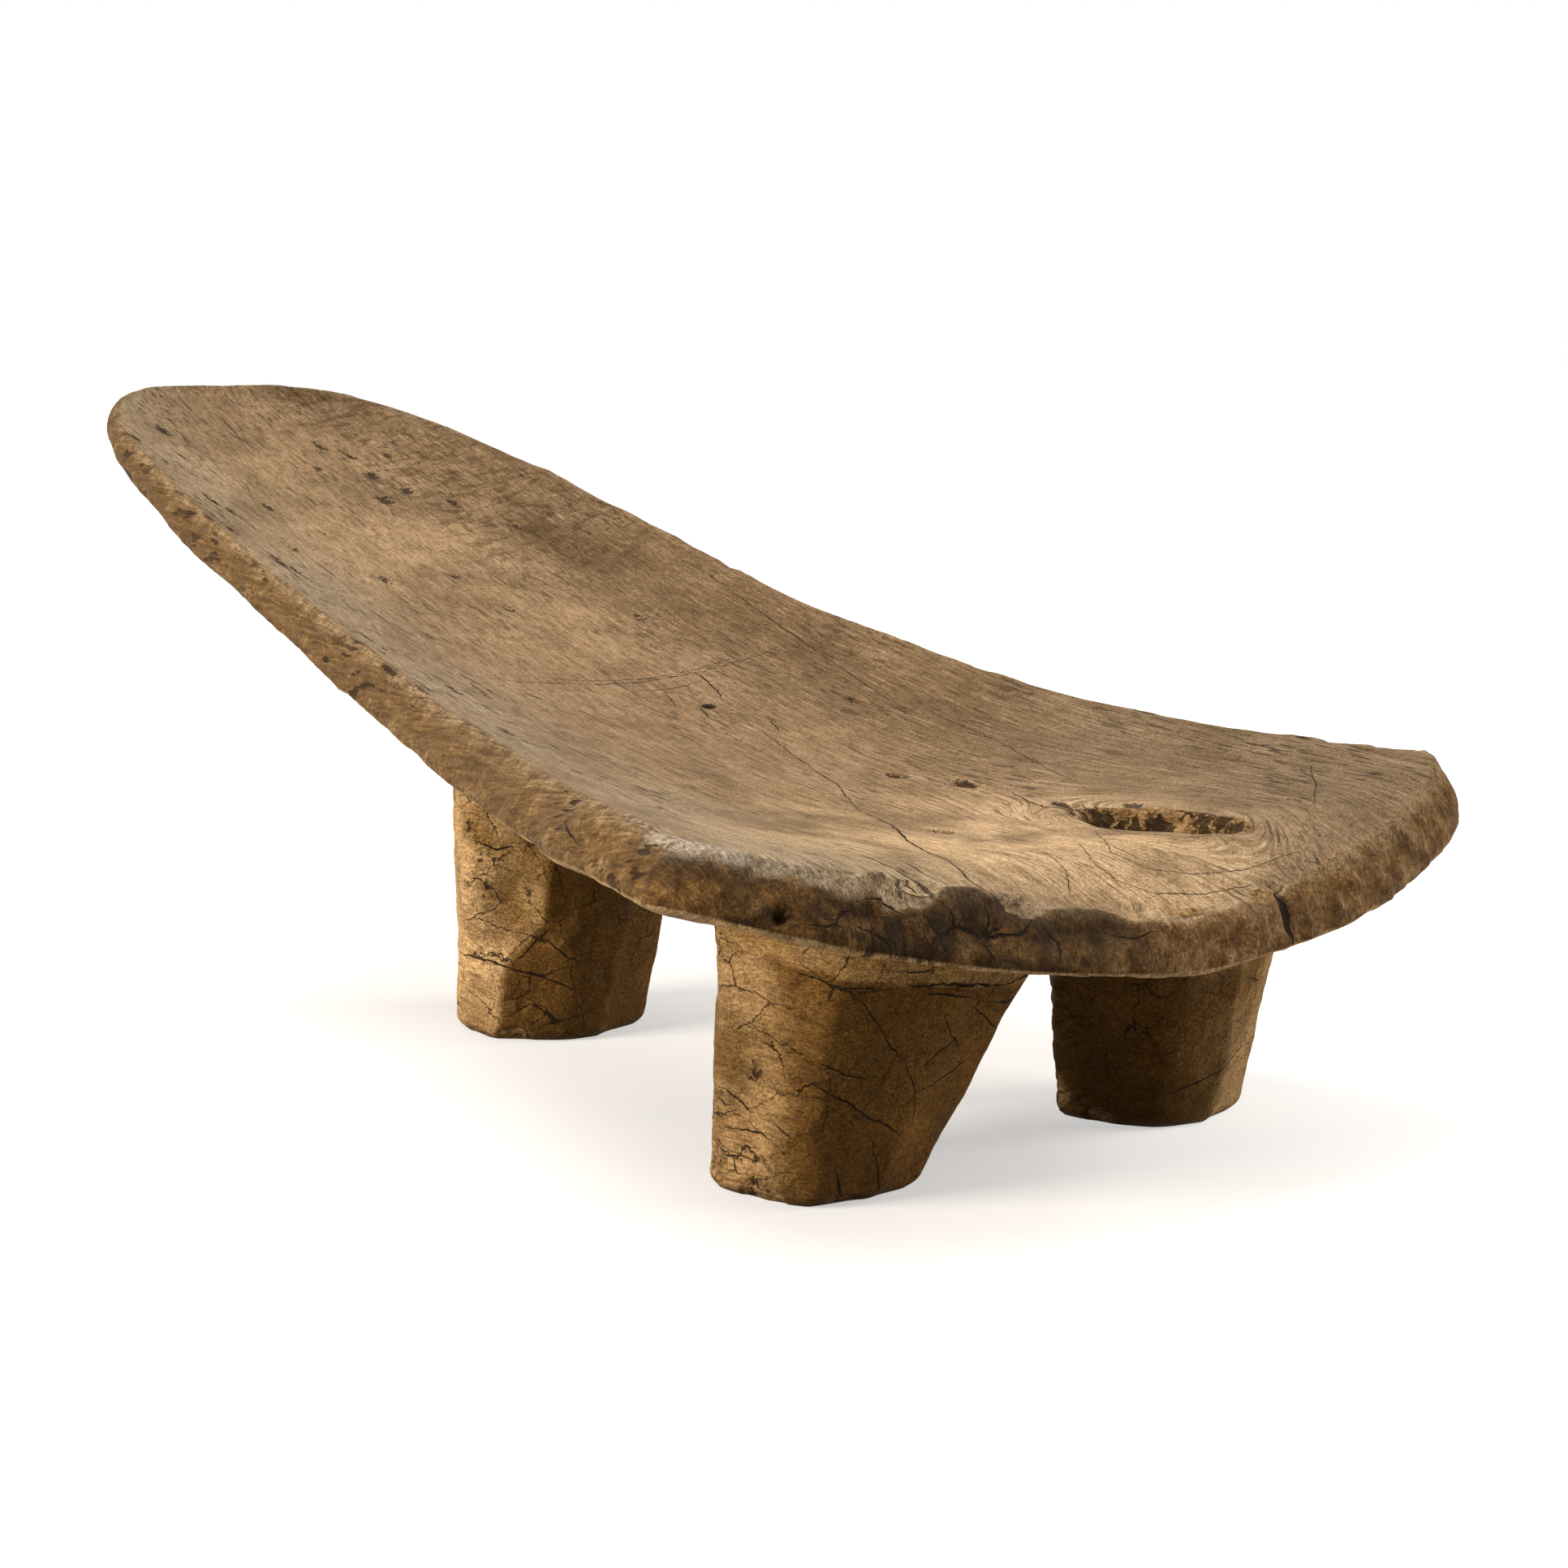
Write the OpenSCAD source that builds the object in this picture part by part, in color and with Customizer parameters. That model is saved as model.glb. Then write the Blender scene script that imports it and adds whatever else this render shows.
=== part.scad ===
// Low reclining chair carved from one log: a long dished seat and back on three stout legs.
// Y runs from the wide foot end to the raised head end, +X is the sitter's left, and Z is up from the floor.
// The origin lies on the floor, under the middle of the chair's outer box.

/* [Seat outline] */
// Length of the top rim from the tip of the foot end to the tip of the head end
seat_length = 1400; // [1150:5:1700]
// Width that the sides run out to at the foot end, before its corners are rounded
foot_width = 684; // [600:2:800]
// Width that the sides run out to at the head end, before its corners are rounded
head_width = 402; // [320:2:520]
// How far each side draws in at the waist
waist_draw = 52; // [0:1:60]
// Length over which the foot end rounds off
foot_round = 127; // [100:1:260]
// Fullness of the foot end's corners, where a higher value is squarer
foot_fullness = 1.8; // [1.5:0.05:3]
// Length over which the head end rounds off
head_round = 670; // [300:5:750]
// Fullness of the head end's corners, where a higher value is squarer
head_fullness = 3.1; // [2:0.1:4]

/* [Rim height] */
// Height of the rim above the floor over the front legs
rim_height = 268; // [230:1:320]
// How far the rim climbs from there to the head end
head_rise = 217; // [120:1:320]
// Distance from the foot tip at which the climb starts
rise_start = 210; // [150:5:350]
// Part of a full wave that the climb follows, in degrees, where a lower value keeps it steep at the head
rise_sweep = 123; // [60:1:150]
// How far the rim curls down at the foot tip
foot_dip = 60; // [0:1:70]
// Length over which it curls down
foot_dip_length = 114; // [80:1:240]
// Extra height of the left rim and loss of the right one at the foot end, from the twist of the log
foot_twist = 1; // [-12:1:12]
// The same at the head end
head_twist = -4; // [-12:1:12]

/* [Edge] */
// Height of the outer edge face at the foot end
foot_edge = 38; // [34:1:70]
// Height of the outer edge face at mid-length
middle_edge = 36; // [30:1:60]
// Height of the outer edge face at the head end
head_edge = 22; // [18:1:45]
// How far the bottom of the right edge face stands out past the rim near the foot end
right_lean = 34; // [10:1:50]
// How far the bottom of the left edge face stands out there
left_lean = 9; // [5:1:50]
// How far the bottom of either edge face stands out near the head end
head_lean = 4; // [0:1:20]
// How far the bottom of the edge face lies beyond the rim at the foot tip
foot_tip_lean = 17; // [5:1:40]
// How far it lies beyond the rim at the head tip
head_tip_lean = 8; // [5:1:30]
// How far the edge face bulges between rim and bottom
edge_bulge = 4; // [0:0.5:8]

/* [Dish and underside] */
// Depth of the dish below the rim near the foot end
foot_dish = 32; // [15:1:38]
// Depth of the dish at mid-length
middle_dish = 42; // [15:1:46]
// Depth of the dish near the head end
head_dish = 24; // [12:1:28]
// Roundness of the dish across the seat, where a higher value is flatter in the middle
dish_power = 2.2; // [1.8:0.1:3]
// How far the underside hangs below the edge face near the foot end
foot_crown = 26; // [20:1:45]
// How far it hangs at mid-length
middle_crown = 32; // [26:1:50]
// How far it hangs near the head end
head_crown = 24; // [18:1:35]
// How far the underside turns down just inside the edge face at the foot end, fading out towards the head
under_turn = 12; // [0:1:16]

/* [Knot hollow] */
// Distance from the foot tip of the rim to the hollow that a fallen knot left in the dish
knot_setback = 146; // [125:1:200]
// How far the hollow lies to the left of the middle
knot_shift = 89; // [60:1:150]
// Length of the hollow
knot_length = 150; // [60:1:180]
// Width of the hollow
knot_width = 70; // [30:1:80]
// Depth of the hollow
knot_depth = 13; // [4:0.5:16]
// Direction of the hollow's length, in degrees from straight across the seat
knot_turn = -76; // [-90:1:90]

/* [Front legs] */
// How far the right foot's centre stands inside the right limit of foot_width
right_leg_inset = 203; // [190:1:225]
// How far the left foot's centre stands inside the left limit of foot_width
left_leg_inset = 165; // [155:1:185]
// Distance from the foot tip of the rim to the middle of the pair
front_leg_setback = 237; // [225:1:330]
// How much farther back the left leg stands than the right one
front_leg_stagger = 30; // [0:1:40]
// Width of the right foot
right_foot_d = 145; // [110:1:160]
// Width of the right leg where it grows out of the seat
right_root_d = 248; // [170:1:256]
// How far the right leg's root lies towards the middle from its foot
right_root_in = 60; // [20:1:64]
// How far the right leg's root lies towards the foot end from its foot
right_root_forward = 8; // [0:1:15]
// Width of the left foot
left_foot_d = 138; // [110:1:160]
// Width of the left leg where it grows out of the seat
left_root_d = 197; // [150:1:204]
// How far the left leg's root lies towards the middle from its foot
left_root_in = 6; // [0:1:14]
// How far the left leg's root lies towards the foot end from its foot
left_root_forward = 26; // [0:1:30]

/* [Rear leg] */
// Distance from the foot tip of the rim to the rear leg
rear_leg_setback = 737; // [620:1:850]
// How far the rear leg stands to the right of the middle
rear_leg_shift = 39; // [0:1:60]
// Width of the rear foot
rear_foot_d = 150; // [110:1:170]
// Width of the rear leg where it grows out of the seat
rear_root_d = 199; // [150:1:220]
// How far the rear leg's root lies towards the middle from its foot
rear_root_in = 20; // [0:1:30]
// How far the rear leg's root lies towards the foot end from its foot
rear_root_forward = 12; // [0:1:30]

/* [Leg shaping] */
// Flat cuts round each leg
leg_sides = 12; // [9:1:16]
// How uneven the cuts are, as a share of the leg's radius
leg_unevenness = 0.035; // [0:0.005:0.05]
// Speed at which the legs widen, where a higher value keeps them slim until near the seat
leg_flare_power = 1.1; // [1:0.1:3]
// Height of the worn bevel round the sole of each foot
sole_bevel = 9; // [3:0.5:15]
// Gap between a leg's top and the underside that it carries
root_gap = 0.3; // [0.2:0.05:0.5]

/* [Hidden] */

// Steps of the surfaces along the seat, across it, and down its edge face
along = 52;
across = 18;
edge_steps = [0, 0.12, 0.5, 0.88, 1];

// Rings of a leg between sole and root as shares of its height, and rings of its top as shares of its radius
leg_steps = [0.25, 0.5, 0.75, 0.9, 1];
cap_steps = [0.94, 0.86, 0.7, 0.5, 0.25];

// Tightness of the turn just inside the edge face, where a higher value keeps it nearer to the edge
turn_power = 24;

// How far the sole draws in under its bevel, as a share of the bevel's height
sole_inset = 0.7;

// Flats round the knot hollow
knot_sides = 28;

seat_wood = "#8f7350";
leg_wood = "#7d5f3c";

// A value that runs through three given ones at the start, the middle and the end
function through(a, b, c, u) = a * (1 - u) * (1 - 2 * u) + b * 4 * u * (1 - u) + c * u * (2 * u - 1);

// Share of full width, from 0 at either tip to 1 where the rounded ends stop
function rounding(u, share, fullness) = pow(1 - pow(max(0, 1 - u / share), fullness), 1 / fullness);
function end_share(u) =
    rounding(u, foot_round / seat_length, foot_fullness)
    * rounding(1 - u, head_round / seat_length, head_fullness);

// How far the edge face stands out at share q of its height, on the side that s names
function bulge(q) = edge_bulge * sin(180 * q);
function lean(u, s, q) = ((s < 0 ? right_lean : left_lean) * (1 - u) + head_lean * u) * q + bulge(q);
function foot_reach(q) = foot_tip_lean * q + bulge(q);
function head_reach(q) = head_tip_lean * q + bulge(q);

// Half of the seat's width on that side, and the place along its length
function half_width(u, s, q) =
    (foot_width / 2 + (head_width - foot_width) / 2 * u - waist_draw * sin(180 * u) + lean(u, s, q))
    * end_share(u);
function place_along(u, q) = -foot_reach(q) + (seat_length + foot_reach(q) + head_reach(q)) * u;

// Height of the rim, and how far the log's twist lifts it at share s of the half width
function climb(u) = max(0, (u * seat_length - rise_start) / (seat_length - rise_start));
function rim_z(u) =
    rim_height
    + head_rise * (1 - cos(rise_sweep * climb(u))) / (1 - cos(rise_sweep))
    - foot_dip * pow(max(0, 1 - u * seat_length / foot_dip_length), 2);
function twist_z(u, s) = (foot_twist + (head_twist - foot_twist) * u) * s * end_share(u);
function edge_z(u) = through(foot_edge, middle_edge, head_edge, u);

// Points of the edge face, the dished top and the crowned underside, at share u of the length
function edge_point(u, s, q) = [
    s * half_width(u, s, q),
    place_along(u, q),
    rim_z(u) + twist_z(u, s) - edge_z(u) * q
];
function top_point(u, s) = [
    s * half_width(u, s, 0),
    place_along(u, 0),
    rim_z(u) + twist_z(u, s)
        - through(foot_dish, middle_dish, head_dish, u) * end_share(u) * (1 - pow(abs(s), dish_power))
];
function top_z(x, y) = top_point(y / seat_length, x / half_width(y / seat_length, x, 0)).z;
function under_height(u, s) =
    rim_z(u) + twist_z(u, s) - edge_z(u)
    - through(foot_crown, middle_crown, head_crown, u) * end_share(u) * (1 - s * s)
    - under_turn * (1 - u) * (1 - u) * end_share(u) * (1 - pow(abs(s), turn_power));
function under_point(u, s) = [s * half_width(u, s, 1), place_along(u, 1), under_height(u, s)];

// Height of the underside over a place on the floor plan
function under_z(x, y) =
    let (u = (y + foot_reach(1)) / (seat_length + foot_reach(1) + head_reach(1)))
    under_height(u, x / half_width(u, x, 1));

// Steps that crowd towards both tips, and towards both sides
function step_along(i) = (1 - cos(180 * i / along)) / 2;
function step_across(j) = sin(90 * (2 * j / across - 1));

// Where the middle of the outer box lies, measured from the foot tip of the rim
foot_end = max([for (q = edge_steps) foot_reach(q)]);
head_end = max([for (q = edge_steps) head_reach(q)]);
function widest(s) = max([for (i = [0 : along], q = edge_steps) half_width(step_along(i), s, q)]);
middle = [(widest(1) - widest(-1)) / 2, (seat_length + head_end - foot_end) / 2, 0];

// The seat's cross-section at one station, as a closed loop: over the dish, down one edge face,
// back under the crown and up the other edge face
function section(u) = concat(
    [for (j = [0 : across]) top_point(u, step_across(j))],
    [for (k = [1 : len(edge_steps) - 1]) edge_point(u, 1, edge_steps[k])],
    [for (j = [across - 1 : -1 : 1]) under_point(u, step_across(j))],
    [for (k = [len(edge_steps) - 1 : -1 : 1]) edge_point(u, -1, edge_steps[k])]
);
loop = 2 * across + 2 * (len(edge_steps) - 1);

// At the tips the loop closes to an upright line, so each tip has one point for each step down its edge
function tip(u) = [for (q = edge_steps) edge_point(u, 0, q)];

// Which step of the tip's line the loop's point number m closes on
function tip_step(m) =
    let (n = len(edge_steps) - 1)
    m <= across ? 0 : m <= across + n ? m - across : m < 2 * across + n ? n : loop - m;

// Two triangles of a four-cornered patch
function patch(a, b, c, d) = [[a, b, c], [a, c, d]];

// The triangles between a loop and its tip, one for each of the loop's sides that closes on a single point
function tip_faces(first, start, flip) = [
    for (m = [0 : loop - 1])
        let (
            n = (m + 1) % loop,
            a = start + m,
            b = start + n,
            c = first + tip_step(n),
            d = first + tip_step(m)
        )
        for (t = c == d ? [[a, b, c]] : patch(a, b, c, d)) flip ? [t[0], t[2], t[1]] : t
];

module seat() {
    steps = len(edge_steps);
    points = concat(
        tip(0),
        [for (i = [1 : along - 1]) each section(step_along(i))],
        tip(1)
    );
    function at(i, m) = steps + (i - 1) * loop + m % loop;
    faces = concat(
        tip_faces(0, at(1, 0), false),
        [for (i = [1 : along - 2]) for (m = [0 : loop - 1])
            each patch(at(i, m), at(i + 1, m), at(i + 1, m + 1), at(i, m + 1))],
        tip_faces(at(along, 0), at(along - 1, 0), true)
    );
    color(seat_wood)
        translate(-middle)
            difference() {
                polyhedron(points, faces);
                translate([knot_shift, knot_setback, top_z(knot_shift, knot_setback)])
                    rotate([0, 0, knot_turn])
                        scale([knot_length / 2, knot_width / 2, knot_depth])
                            sphere(1, $fn = knot_sides);
            }
}

// A leg whose sole stands at a place on the floor and whose top follows the underside.
// Its cuts are uneven, so that no two sides have quite the same width.
module leg(foot, foot_d, root, root_d, turn) {
    function uneven(a) = 1 + leg_unevenness * (sin(2 * a + turn) + sin(5 * a - 2 * turn));
    function reach(a, r, centre) = [centre.x + r * uneven(a) * cos(a), centre.y + r * uneven(a) * sin(a)];
    function angle(j) = turn + 360 * j / leg_sides;
    function cap_point(a, share) =
        let (p = reach(a, root_d / 2 * share, root)) [p.x, p.y, under_z(p.x, p.y) - root_gap];
    function side_point(a, t) =
        let (
            r = foot_d / 2 + (root_d - foot_d) / 2 * pow(t, leg_flare_power),
            p = reach(a, r, foot + (root - foot) * t)
        )
        [p.x, p.y, t * cap_point(a, 1).z];
    function sole_point(a, k) =
        let (p = reach(a, foot_d / 2 - (1 - k) * sole_bevel * sole_inset, foot))
        [p.x, p.y, k * sole_bevel];
    function ring(k) = [for (j = [0 : leg_sides - 1])
        let (a = angle(j))
        k < 2 ? sole_point(a, k)
        : k < 2 + len(leg_steps) ? side_point(a, leg_steps[k - 2])
        : cap_point(a, cap_steps[k - 2 - len(leg_steps)])];
    rings = 2 + len(leg_steps) + len(cap_steps);
    last = rings * leg_sides;
    points = concat(
        [for (k = [0 : rings - 1]) each ring(k)],
        [[root.x, root.y, under_z(root.x, root.y) - root_gap]]
    );
    function at(k, j) = k * leg_sides + j % leg_sides;
    faces = concat(
        [[for (j = [0 : leg_sides - 1]) at(0, j)]],
        [for (k = [0 : rings - 2]) for (j = [0 : leg_sides - 1])
            each patch(at(k, j), at(k + 1, j), at(k + 1, j + 1), at(k, j + 1))],
        [for (j = [0 : leg_sides - 1]) [last, at(rings - 1, j + 1), at(rings - 1, j)]]
    );
    color(leg_wood)
        translate(-middle)
            polyhedron(points, faces);
}

module leg_front_right() {
    foot = [right_leg_inset - foot_width / 2, front_leg_setback - front_leg_stagger / 2];
    leg(foot, right_foot_d, foot + [right_root_in, -right_root_forward], right_root_d, 10);
}

module leg_front_left() {
    foot = [foot_width / 2 - left_leg_inset, front_leg_setback + front_leg_stagger / 2];
    leg(foot, left_foot_d, foot + [-left_root_in, -left_root_forward], left_root_d, 25);
}

module leg_rear() {
    foot = [-rear_leg_shift, rear_leg_setback];
    leg(foot, rear_foot_d, foot + [rear_root_in, -rear_root_forward], rear_root_d, 40);
}

seat();
leg_front_right();
leg_front_left();
leg_rear();
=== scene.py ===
import itertools
import math
from functools import partial

import bmesh
import bpy
import numpy as np
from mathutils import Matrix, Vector


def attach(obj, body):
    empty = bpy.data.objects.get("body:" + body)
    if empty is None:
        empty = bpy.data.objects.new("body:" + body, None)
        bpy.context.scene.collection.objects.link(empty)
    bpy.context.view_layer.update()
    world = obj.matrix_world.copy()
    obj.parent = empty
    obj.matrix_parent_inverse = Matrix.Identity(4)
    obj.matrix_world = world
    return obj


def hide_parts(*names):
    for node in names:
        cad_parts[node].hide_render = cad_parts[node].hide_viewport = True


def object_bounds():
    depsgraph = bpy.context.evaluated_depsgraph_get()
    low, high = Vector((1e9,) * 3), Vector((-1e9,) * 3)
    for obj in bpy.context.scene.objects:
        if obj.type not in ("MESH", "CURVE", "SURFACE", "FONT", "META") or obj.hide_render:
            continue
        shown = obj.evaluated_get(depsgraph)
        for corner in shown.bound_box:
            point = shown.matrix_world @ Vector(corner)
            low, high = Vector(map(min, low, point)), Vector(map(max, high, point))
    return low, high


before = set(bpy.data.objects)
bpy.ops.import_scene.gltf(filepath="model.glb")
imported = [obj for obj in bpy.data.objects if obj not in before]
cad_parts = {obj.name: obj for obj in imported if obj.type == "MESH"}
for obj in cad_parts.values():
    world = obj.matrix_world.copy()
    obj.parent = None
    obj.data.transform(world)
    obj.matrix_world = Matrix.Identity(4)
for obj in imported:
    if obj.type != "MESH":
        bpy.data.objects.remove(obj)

# A low reclining chair carved from one log: a dished seat and back on three adze-cut legs. Lengths are in millimetres
# until a mesh is made. The main shapes are measured from the foot tip of the rim, as in the source, and the tables of
# bites, cracks and pits in the part's frame

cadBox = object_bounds()


def linearColour(code):  # an sRGB hex value as linear light with full cover
    values = [int(code[i:i + 2], 16) / 255 for i in (1, 3, 5)]
    return [v / 12.92 if v <= 0.04045 else ((v + 0.055) / 1.055) ** 2.4 for v in values] + [1.0]


def smoothStep(low, high, values):  # 0 below low, 1 above high, 3t^2 - 2t^3 between them
    t = np.clip((values - low) / (high - low), 0, 1)
    return t * t * (3 - 2 * t)


noiseTable = np.random.default_rng(11).random((64, 64, 64))


def smoothNoise(points, size, shift):
    # Value noise from -1 to 1: a random value at each corner of a lattice of this size, blended by 3f^2 - 2f^3
    place = points / size + shift
    cell = np.floor(place).astype(int)
    f = place - cell
    f = f * f * (3 - 2 * f)
    total = np.zeros(points.shape[:-1])
    for corner in itertools.product((0, 1), repeat=3):
        weight = np.prod(np.where(np.array(corner) == 1, f, 1 - f), axis=-1)
        at = (cell + corner) & 63
        total += weight * noiseTable[at[..., 0], at[..., 1], at[..., 2]]
    return total * 2 - 1


def layeredNoise(points, size, shift, layers=3):
    # Noise plus itself at half the size and 0.55 of the height, again and again
    total = np.zeros(points.shape[:-1])
    for k in range(layers):
        total += 0.55 ** k * smoothNoise(points, np.asarray(size, float) / 2 ** k, shift + 7.3 * k)
    return total


def gridNormals(points):  # cross product of the steps to both neighbours, round the ring and from ring to ring
    roundRing = np.roll(points, -1, axis=1) - np.roll(points, 1, axis=1)
    acrossRings = np.empty_like(points)
    acrossRings[1:-1] = points[2:] - points[:-2]
    acrossRings[0] = points[1] - points[0]
    acrossRings[-1] = points[-1] - points[-2]
    normals = np.cross(roundRing, acrossRings)
    return normals / np.maximum(np.linalg.norm(normals, axis=-1, keepdims=True), 1e-9)


def scoops(points, cuts):
    # How deep each point lies in the cuts: depth * sqrt(1 - r^2), where r is the distance from a cut's middle as a
    # share of its reach in x, y and z, made ragged by noise
    ragged = 0.16 * smoothNoise(points, 9.0, 3.1)
    total = np.zeros(points.shape[:-1])
    for x, y, z, reachX, reachY, reachZ, turn, depth in cuts:
        c, s = math.cos(math.radians(turn)), math.sin(math.radians(turn))
        d = points - np.array([x, y, z])
        along, over = c * d[..., 0] + s * d[..., 1], -s * d[..., 0] + c * d[..., 1]
        r = np.sqrt((along / reachX) ** 2 + (over / reachY) ** 2 + (d[..., 2] / reachZ) ** 2) + ragged
        total = np.maximum(total, depth * np.sqrt(np.clip(1 - r * r, 0, 1)))
    return total


crackReach = {"far": 60.0, "sheet": 16, "none": -6.0, "tip": 0.03}  # millimetres, and a share of the crack's length


def crackFields(points, normals, cracks):
    # For each point the signed distance to the nearest crack line, measured along the surface, and that crack's half
    # width there, which tapers at both ends. A line on another face, over a sheet's depth away, counts as far
    best = np.full(points.shape[:-1], crackReach["far"])
    signed = best.copy()
    wide = np.full(points.shape[:-1], crackReach["none"])
    for line, width in cracks:
        corners = np.array(line, float)
        lengths = np.linalg.norm(np.diff(corners, axis=0), axis=1)
        total, done = lengths.sum(), 0.0
        for a, b, run in zip(corners[:-1], corners[1:], lengths):
            way = (b - a) / run
            d = points - a
            t = np.clip(d @ way, 0, run)
            gap = d - t[..., None] * way
            off = (gap * normals).sum(-1)
            flat = gap - off[..., None] * normals
            away = np.linalg.norm(flat, axis=-1) + np.where(np.abs(off) > crackReach["sheet"], crackReach["far"], 0.0)
            side = np.sign((np.cross(normals, way) * flat).sum(-1))
            share = np.clip((done + t) / total, crackReach["tip"], 1 - crackReach["tip"])
            near = away < best
            best = np.where(near, away, best)
            signed = np.where(near, np.where(side == 0, 1, side) * away, signed)
            wide = np.where(near, width * np.sin(np.pi * share) ** 0.5, wide)
            done += run
    return signed, wide


def crackDepth(signed, wide, least, deep, reach):
    # How deep the cracks wider than the least are cut: full depth on the line, falling evenly to nothing at reach
    return np.clip(wide - least, 0, 3) * deep * np.clip(1 - np.abs(signed) / reach, 0, 1)


def pitFields(points, pits):
    # Distance to the edge of the nearest pit, below zero inside it: a pit is (x, y, z, reach across, reach along)
    best = np.full(points.shape[:-1], 40.0)
    for x, y, z, across, along in pits:
        d = (points - np.array([x, y, z])) / np.array([across, along, max(across, along)])
        best = np.minimum(best, (np.linalg.norm(d, axis=-1) - 1) * min(across, along))
    return best


def ringMesh(name, points, fields, closeEnds):
    # Rings of points joined by four-cornered faces. The rings are closed, and an end ring can close to one point
    rings, count = points.shape[:2]
    at = np.arange(rings * count).reshape(rings, count)
    after = np.roll(at, -1, axis=1)
    quads = np.stack([at[:-1], after[:-1], after[1:], at[1:]], axis=-1).reshape(-1, 4)
    vertices = points.reshape(-1, 3) * 0.001
    mesh = bpy.data.meshes.new(name)
    extra, fans = [], []
    for ring, turned in closeEnds:
        middle = len(vertices) + len(extra)
        extra.append(points[ring].mean(0) * 0.001)
        fans += [(b, a, middle) if turned else (a, b, middle) for a, b in zip(at[ring], after[ring])]
    if extra:
        vertices = np.vstack([vertices, extra])
    mesh.from_pydata(vertices, [], [tuple(q) for q in quads.tolist()] + [tuple(map(int, f)) for f in fans])
    for key, values in fields.items():
        filled = np.zeros((len(vertices), 3))
        filled[:rings * count] = values.reshape(-1, 3)
        for k, (ring, _) in enumerate(closeEnds):
            filled[rings * count + k] = values[ring].mean(0)
        field = mesh.attributes.new(key, "FLOAT_VECTOR", "POINT")
        field.data.foreach_set("vector", filled.ravel().astype(np.float32))
    mesh.polygons.foreach_set("use_smooth", [True] * len(mesh.polygons))
    mesh.update()
    piece = bpy.data.objects.new(name, mesh)
    bpy.context.scene.collection.objects.link(piece)
    return piece


def asField(*values):  # three numbers for each point as one field of vectors
    return np.stack(np.broadcast_arrays(*values), axis=-1)


def mergeAndTurn(piece, reach):  # merges doubles, drops flat leftovers and points every face outward
    work = bmesh.new()
    work.from_mesh(piece.data)
    bmesh.ops.remove_doubles(work, verts=work.verts, dist=reach)
    bmesh.ops.dissolve_degenerate(work, edges=work.edges, dist=reach)
    # Where a ring folds flat on itself, its end point keeps only two edges: it is welded to its neighbour
    ends = [point for point in work.verts if len(point.link_edges) == 2]
    bmesh.ops.weld_verts(work, targetmap={point: point.link_edges[0].other_vert(point) for point in ends})
    bmesh.ops.recalc_face_normals(work, faces=work.faces)
    work.to_mesh(piece.data)
    work.free()
    piece.data.update()


# The main shape, with the source's values: ends and middle of the seat, and middle of the part in the rim's frame
shape = {
    "length": 1400.0, "footWidth": 684.0, "headWidth": 402.0, "waistDraw": 52.0,
    "footRound": 127.0, "footFullness": 1.8, "headRound": 670.0, "headFullness": 3.1,
    "rimHeight": 268.0, "headRise": 217.0, "riseStart": 210.0, "riseSweep": 123.0,
    "footDip": 60.0, "footDipLength": 114.0, "footTwist": 1.0, "headTwist": -4.0,
    "edge": (38.0, 36.0, 22.0), "dish": (32.0, 42.0, 24.0), "crown": (26.0, 32.0, 24.0), "dishPower": 2.2,
    "rightLean": 34.0, "leftLean": 9.0, "headLean": 4.0, "footTipLean": 17.0, "headTipLean": 8.0,
    "bulge": 4.0, "underTurn": 12.0, "turnPower": 24.0,
    "middle": (-11.163, 695.756),
}
length = shape["length"]


def through(triple, u):  # a value that runs through three given ones at the start, the middle and the end
    a, b, c = triple
    return a * (1 - u) * (1 - 2 * u) + b * 4 * u * (1 - u) + c * u * (2 * u - 1)


def rounding(u, share, fullness):  # share of full width over a rounded end: a superellipse
    return (1 - np.clip(1 - u / share, 0, 1) ** fullness) ** (1 / fullness)


def endShare(u):
    return (rounding(u, shape["footRound"] / length, shape["footFullness"])
            * rounding(1 - u, shape["headRound"] / length, shape["headFullness"]))


def bulge(q):
    return shape["bulge"] * np.sin(np.pi * q)


def halfWidth(u, side, q):  # straight taper, less the waist's sine, plus the edge face's lean, times the rounded ends
    lean = (np.where(side < 0, shape["rightLean"], shape["leftLean"]) * (1 - u) + shape["headLean"] * u) * q
    straight = shape["footWidth"] / 2 + (shape["headWidth"] - shape["footWidth"]) / 2 * u
    return (straight - shape["waistDraw"] * np.sin(np.pi * u) + lean + bulge(q)) * endShare(u)


def placeAlong(u, q):
    foot = shape["footTipLean"] * q + bulge(q)
    return -foot + (length + foot + shape["headTipLean"] * q + bulge(q)) * u


def rimHeight(u):  # level over the legs, then part of a cosine wave up to the head, and a quick curl down at the foot
    climb = np.clip((u * length - shape["riseStart"]) / (length - shape["riseStart"]), 0, None)
    sweep = math.radians(shape["riseSweep"])
    rise = shape["headRise"] * (1 - np.cos(sweep * climb)) / (1 - math.cos(sweep))
    curl = shape["footDip"] * np.clip(1 - u * length / shape["footDipLength"], 0, None) ** 2
    return shape["rimHeight"] + rise - curl


def twist(u, s):
    return (shape["footTwist"] + (shape["headTwist"] - shape["footTwist"]) * u) * s * endShare(u)


def topHeight(x, y):  # rim height less the dish, which is 1 - |s|^power deep across the seat
    u = np.clip(y / length, 0, 1)
    s = np.clip(x / np.maximum(halfWidth(u, x, 0.0), 1e-6), -1, 1)
    dish = through(shape["dish"], u) * endShare(u) * (1 - np.abs(s) ** shape["dishPower"])
    return rimHeight(u) + twist(u, s) - dish


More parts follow.
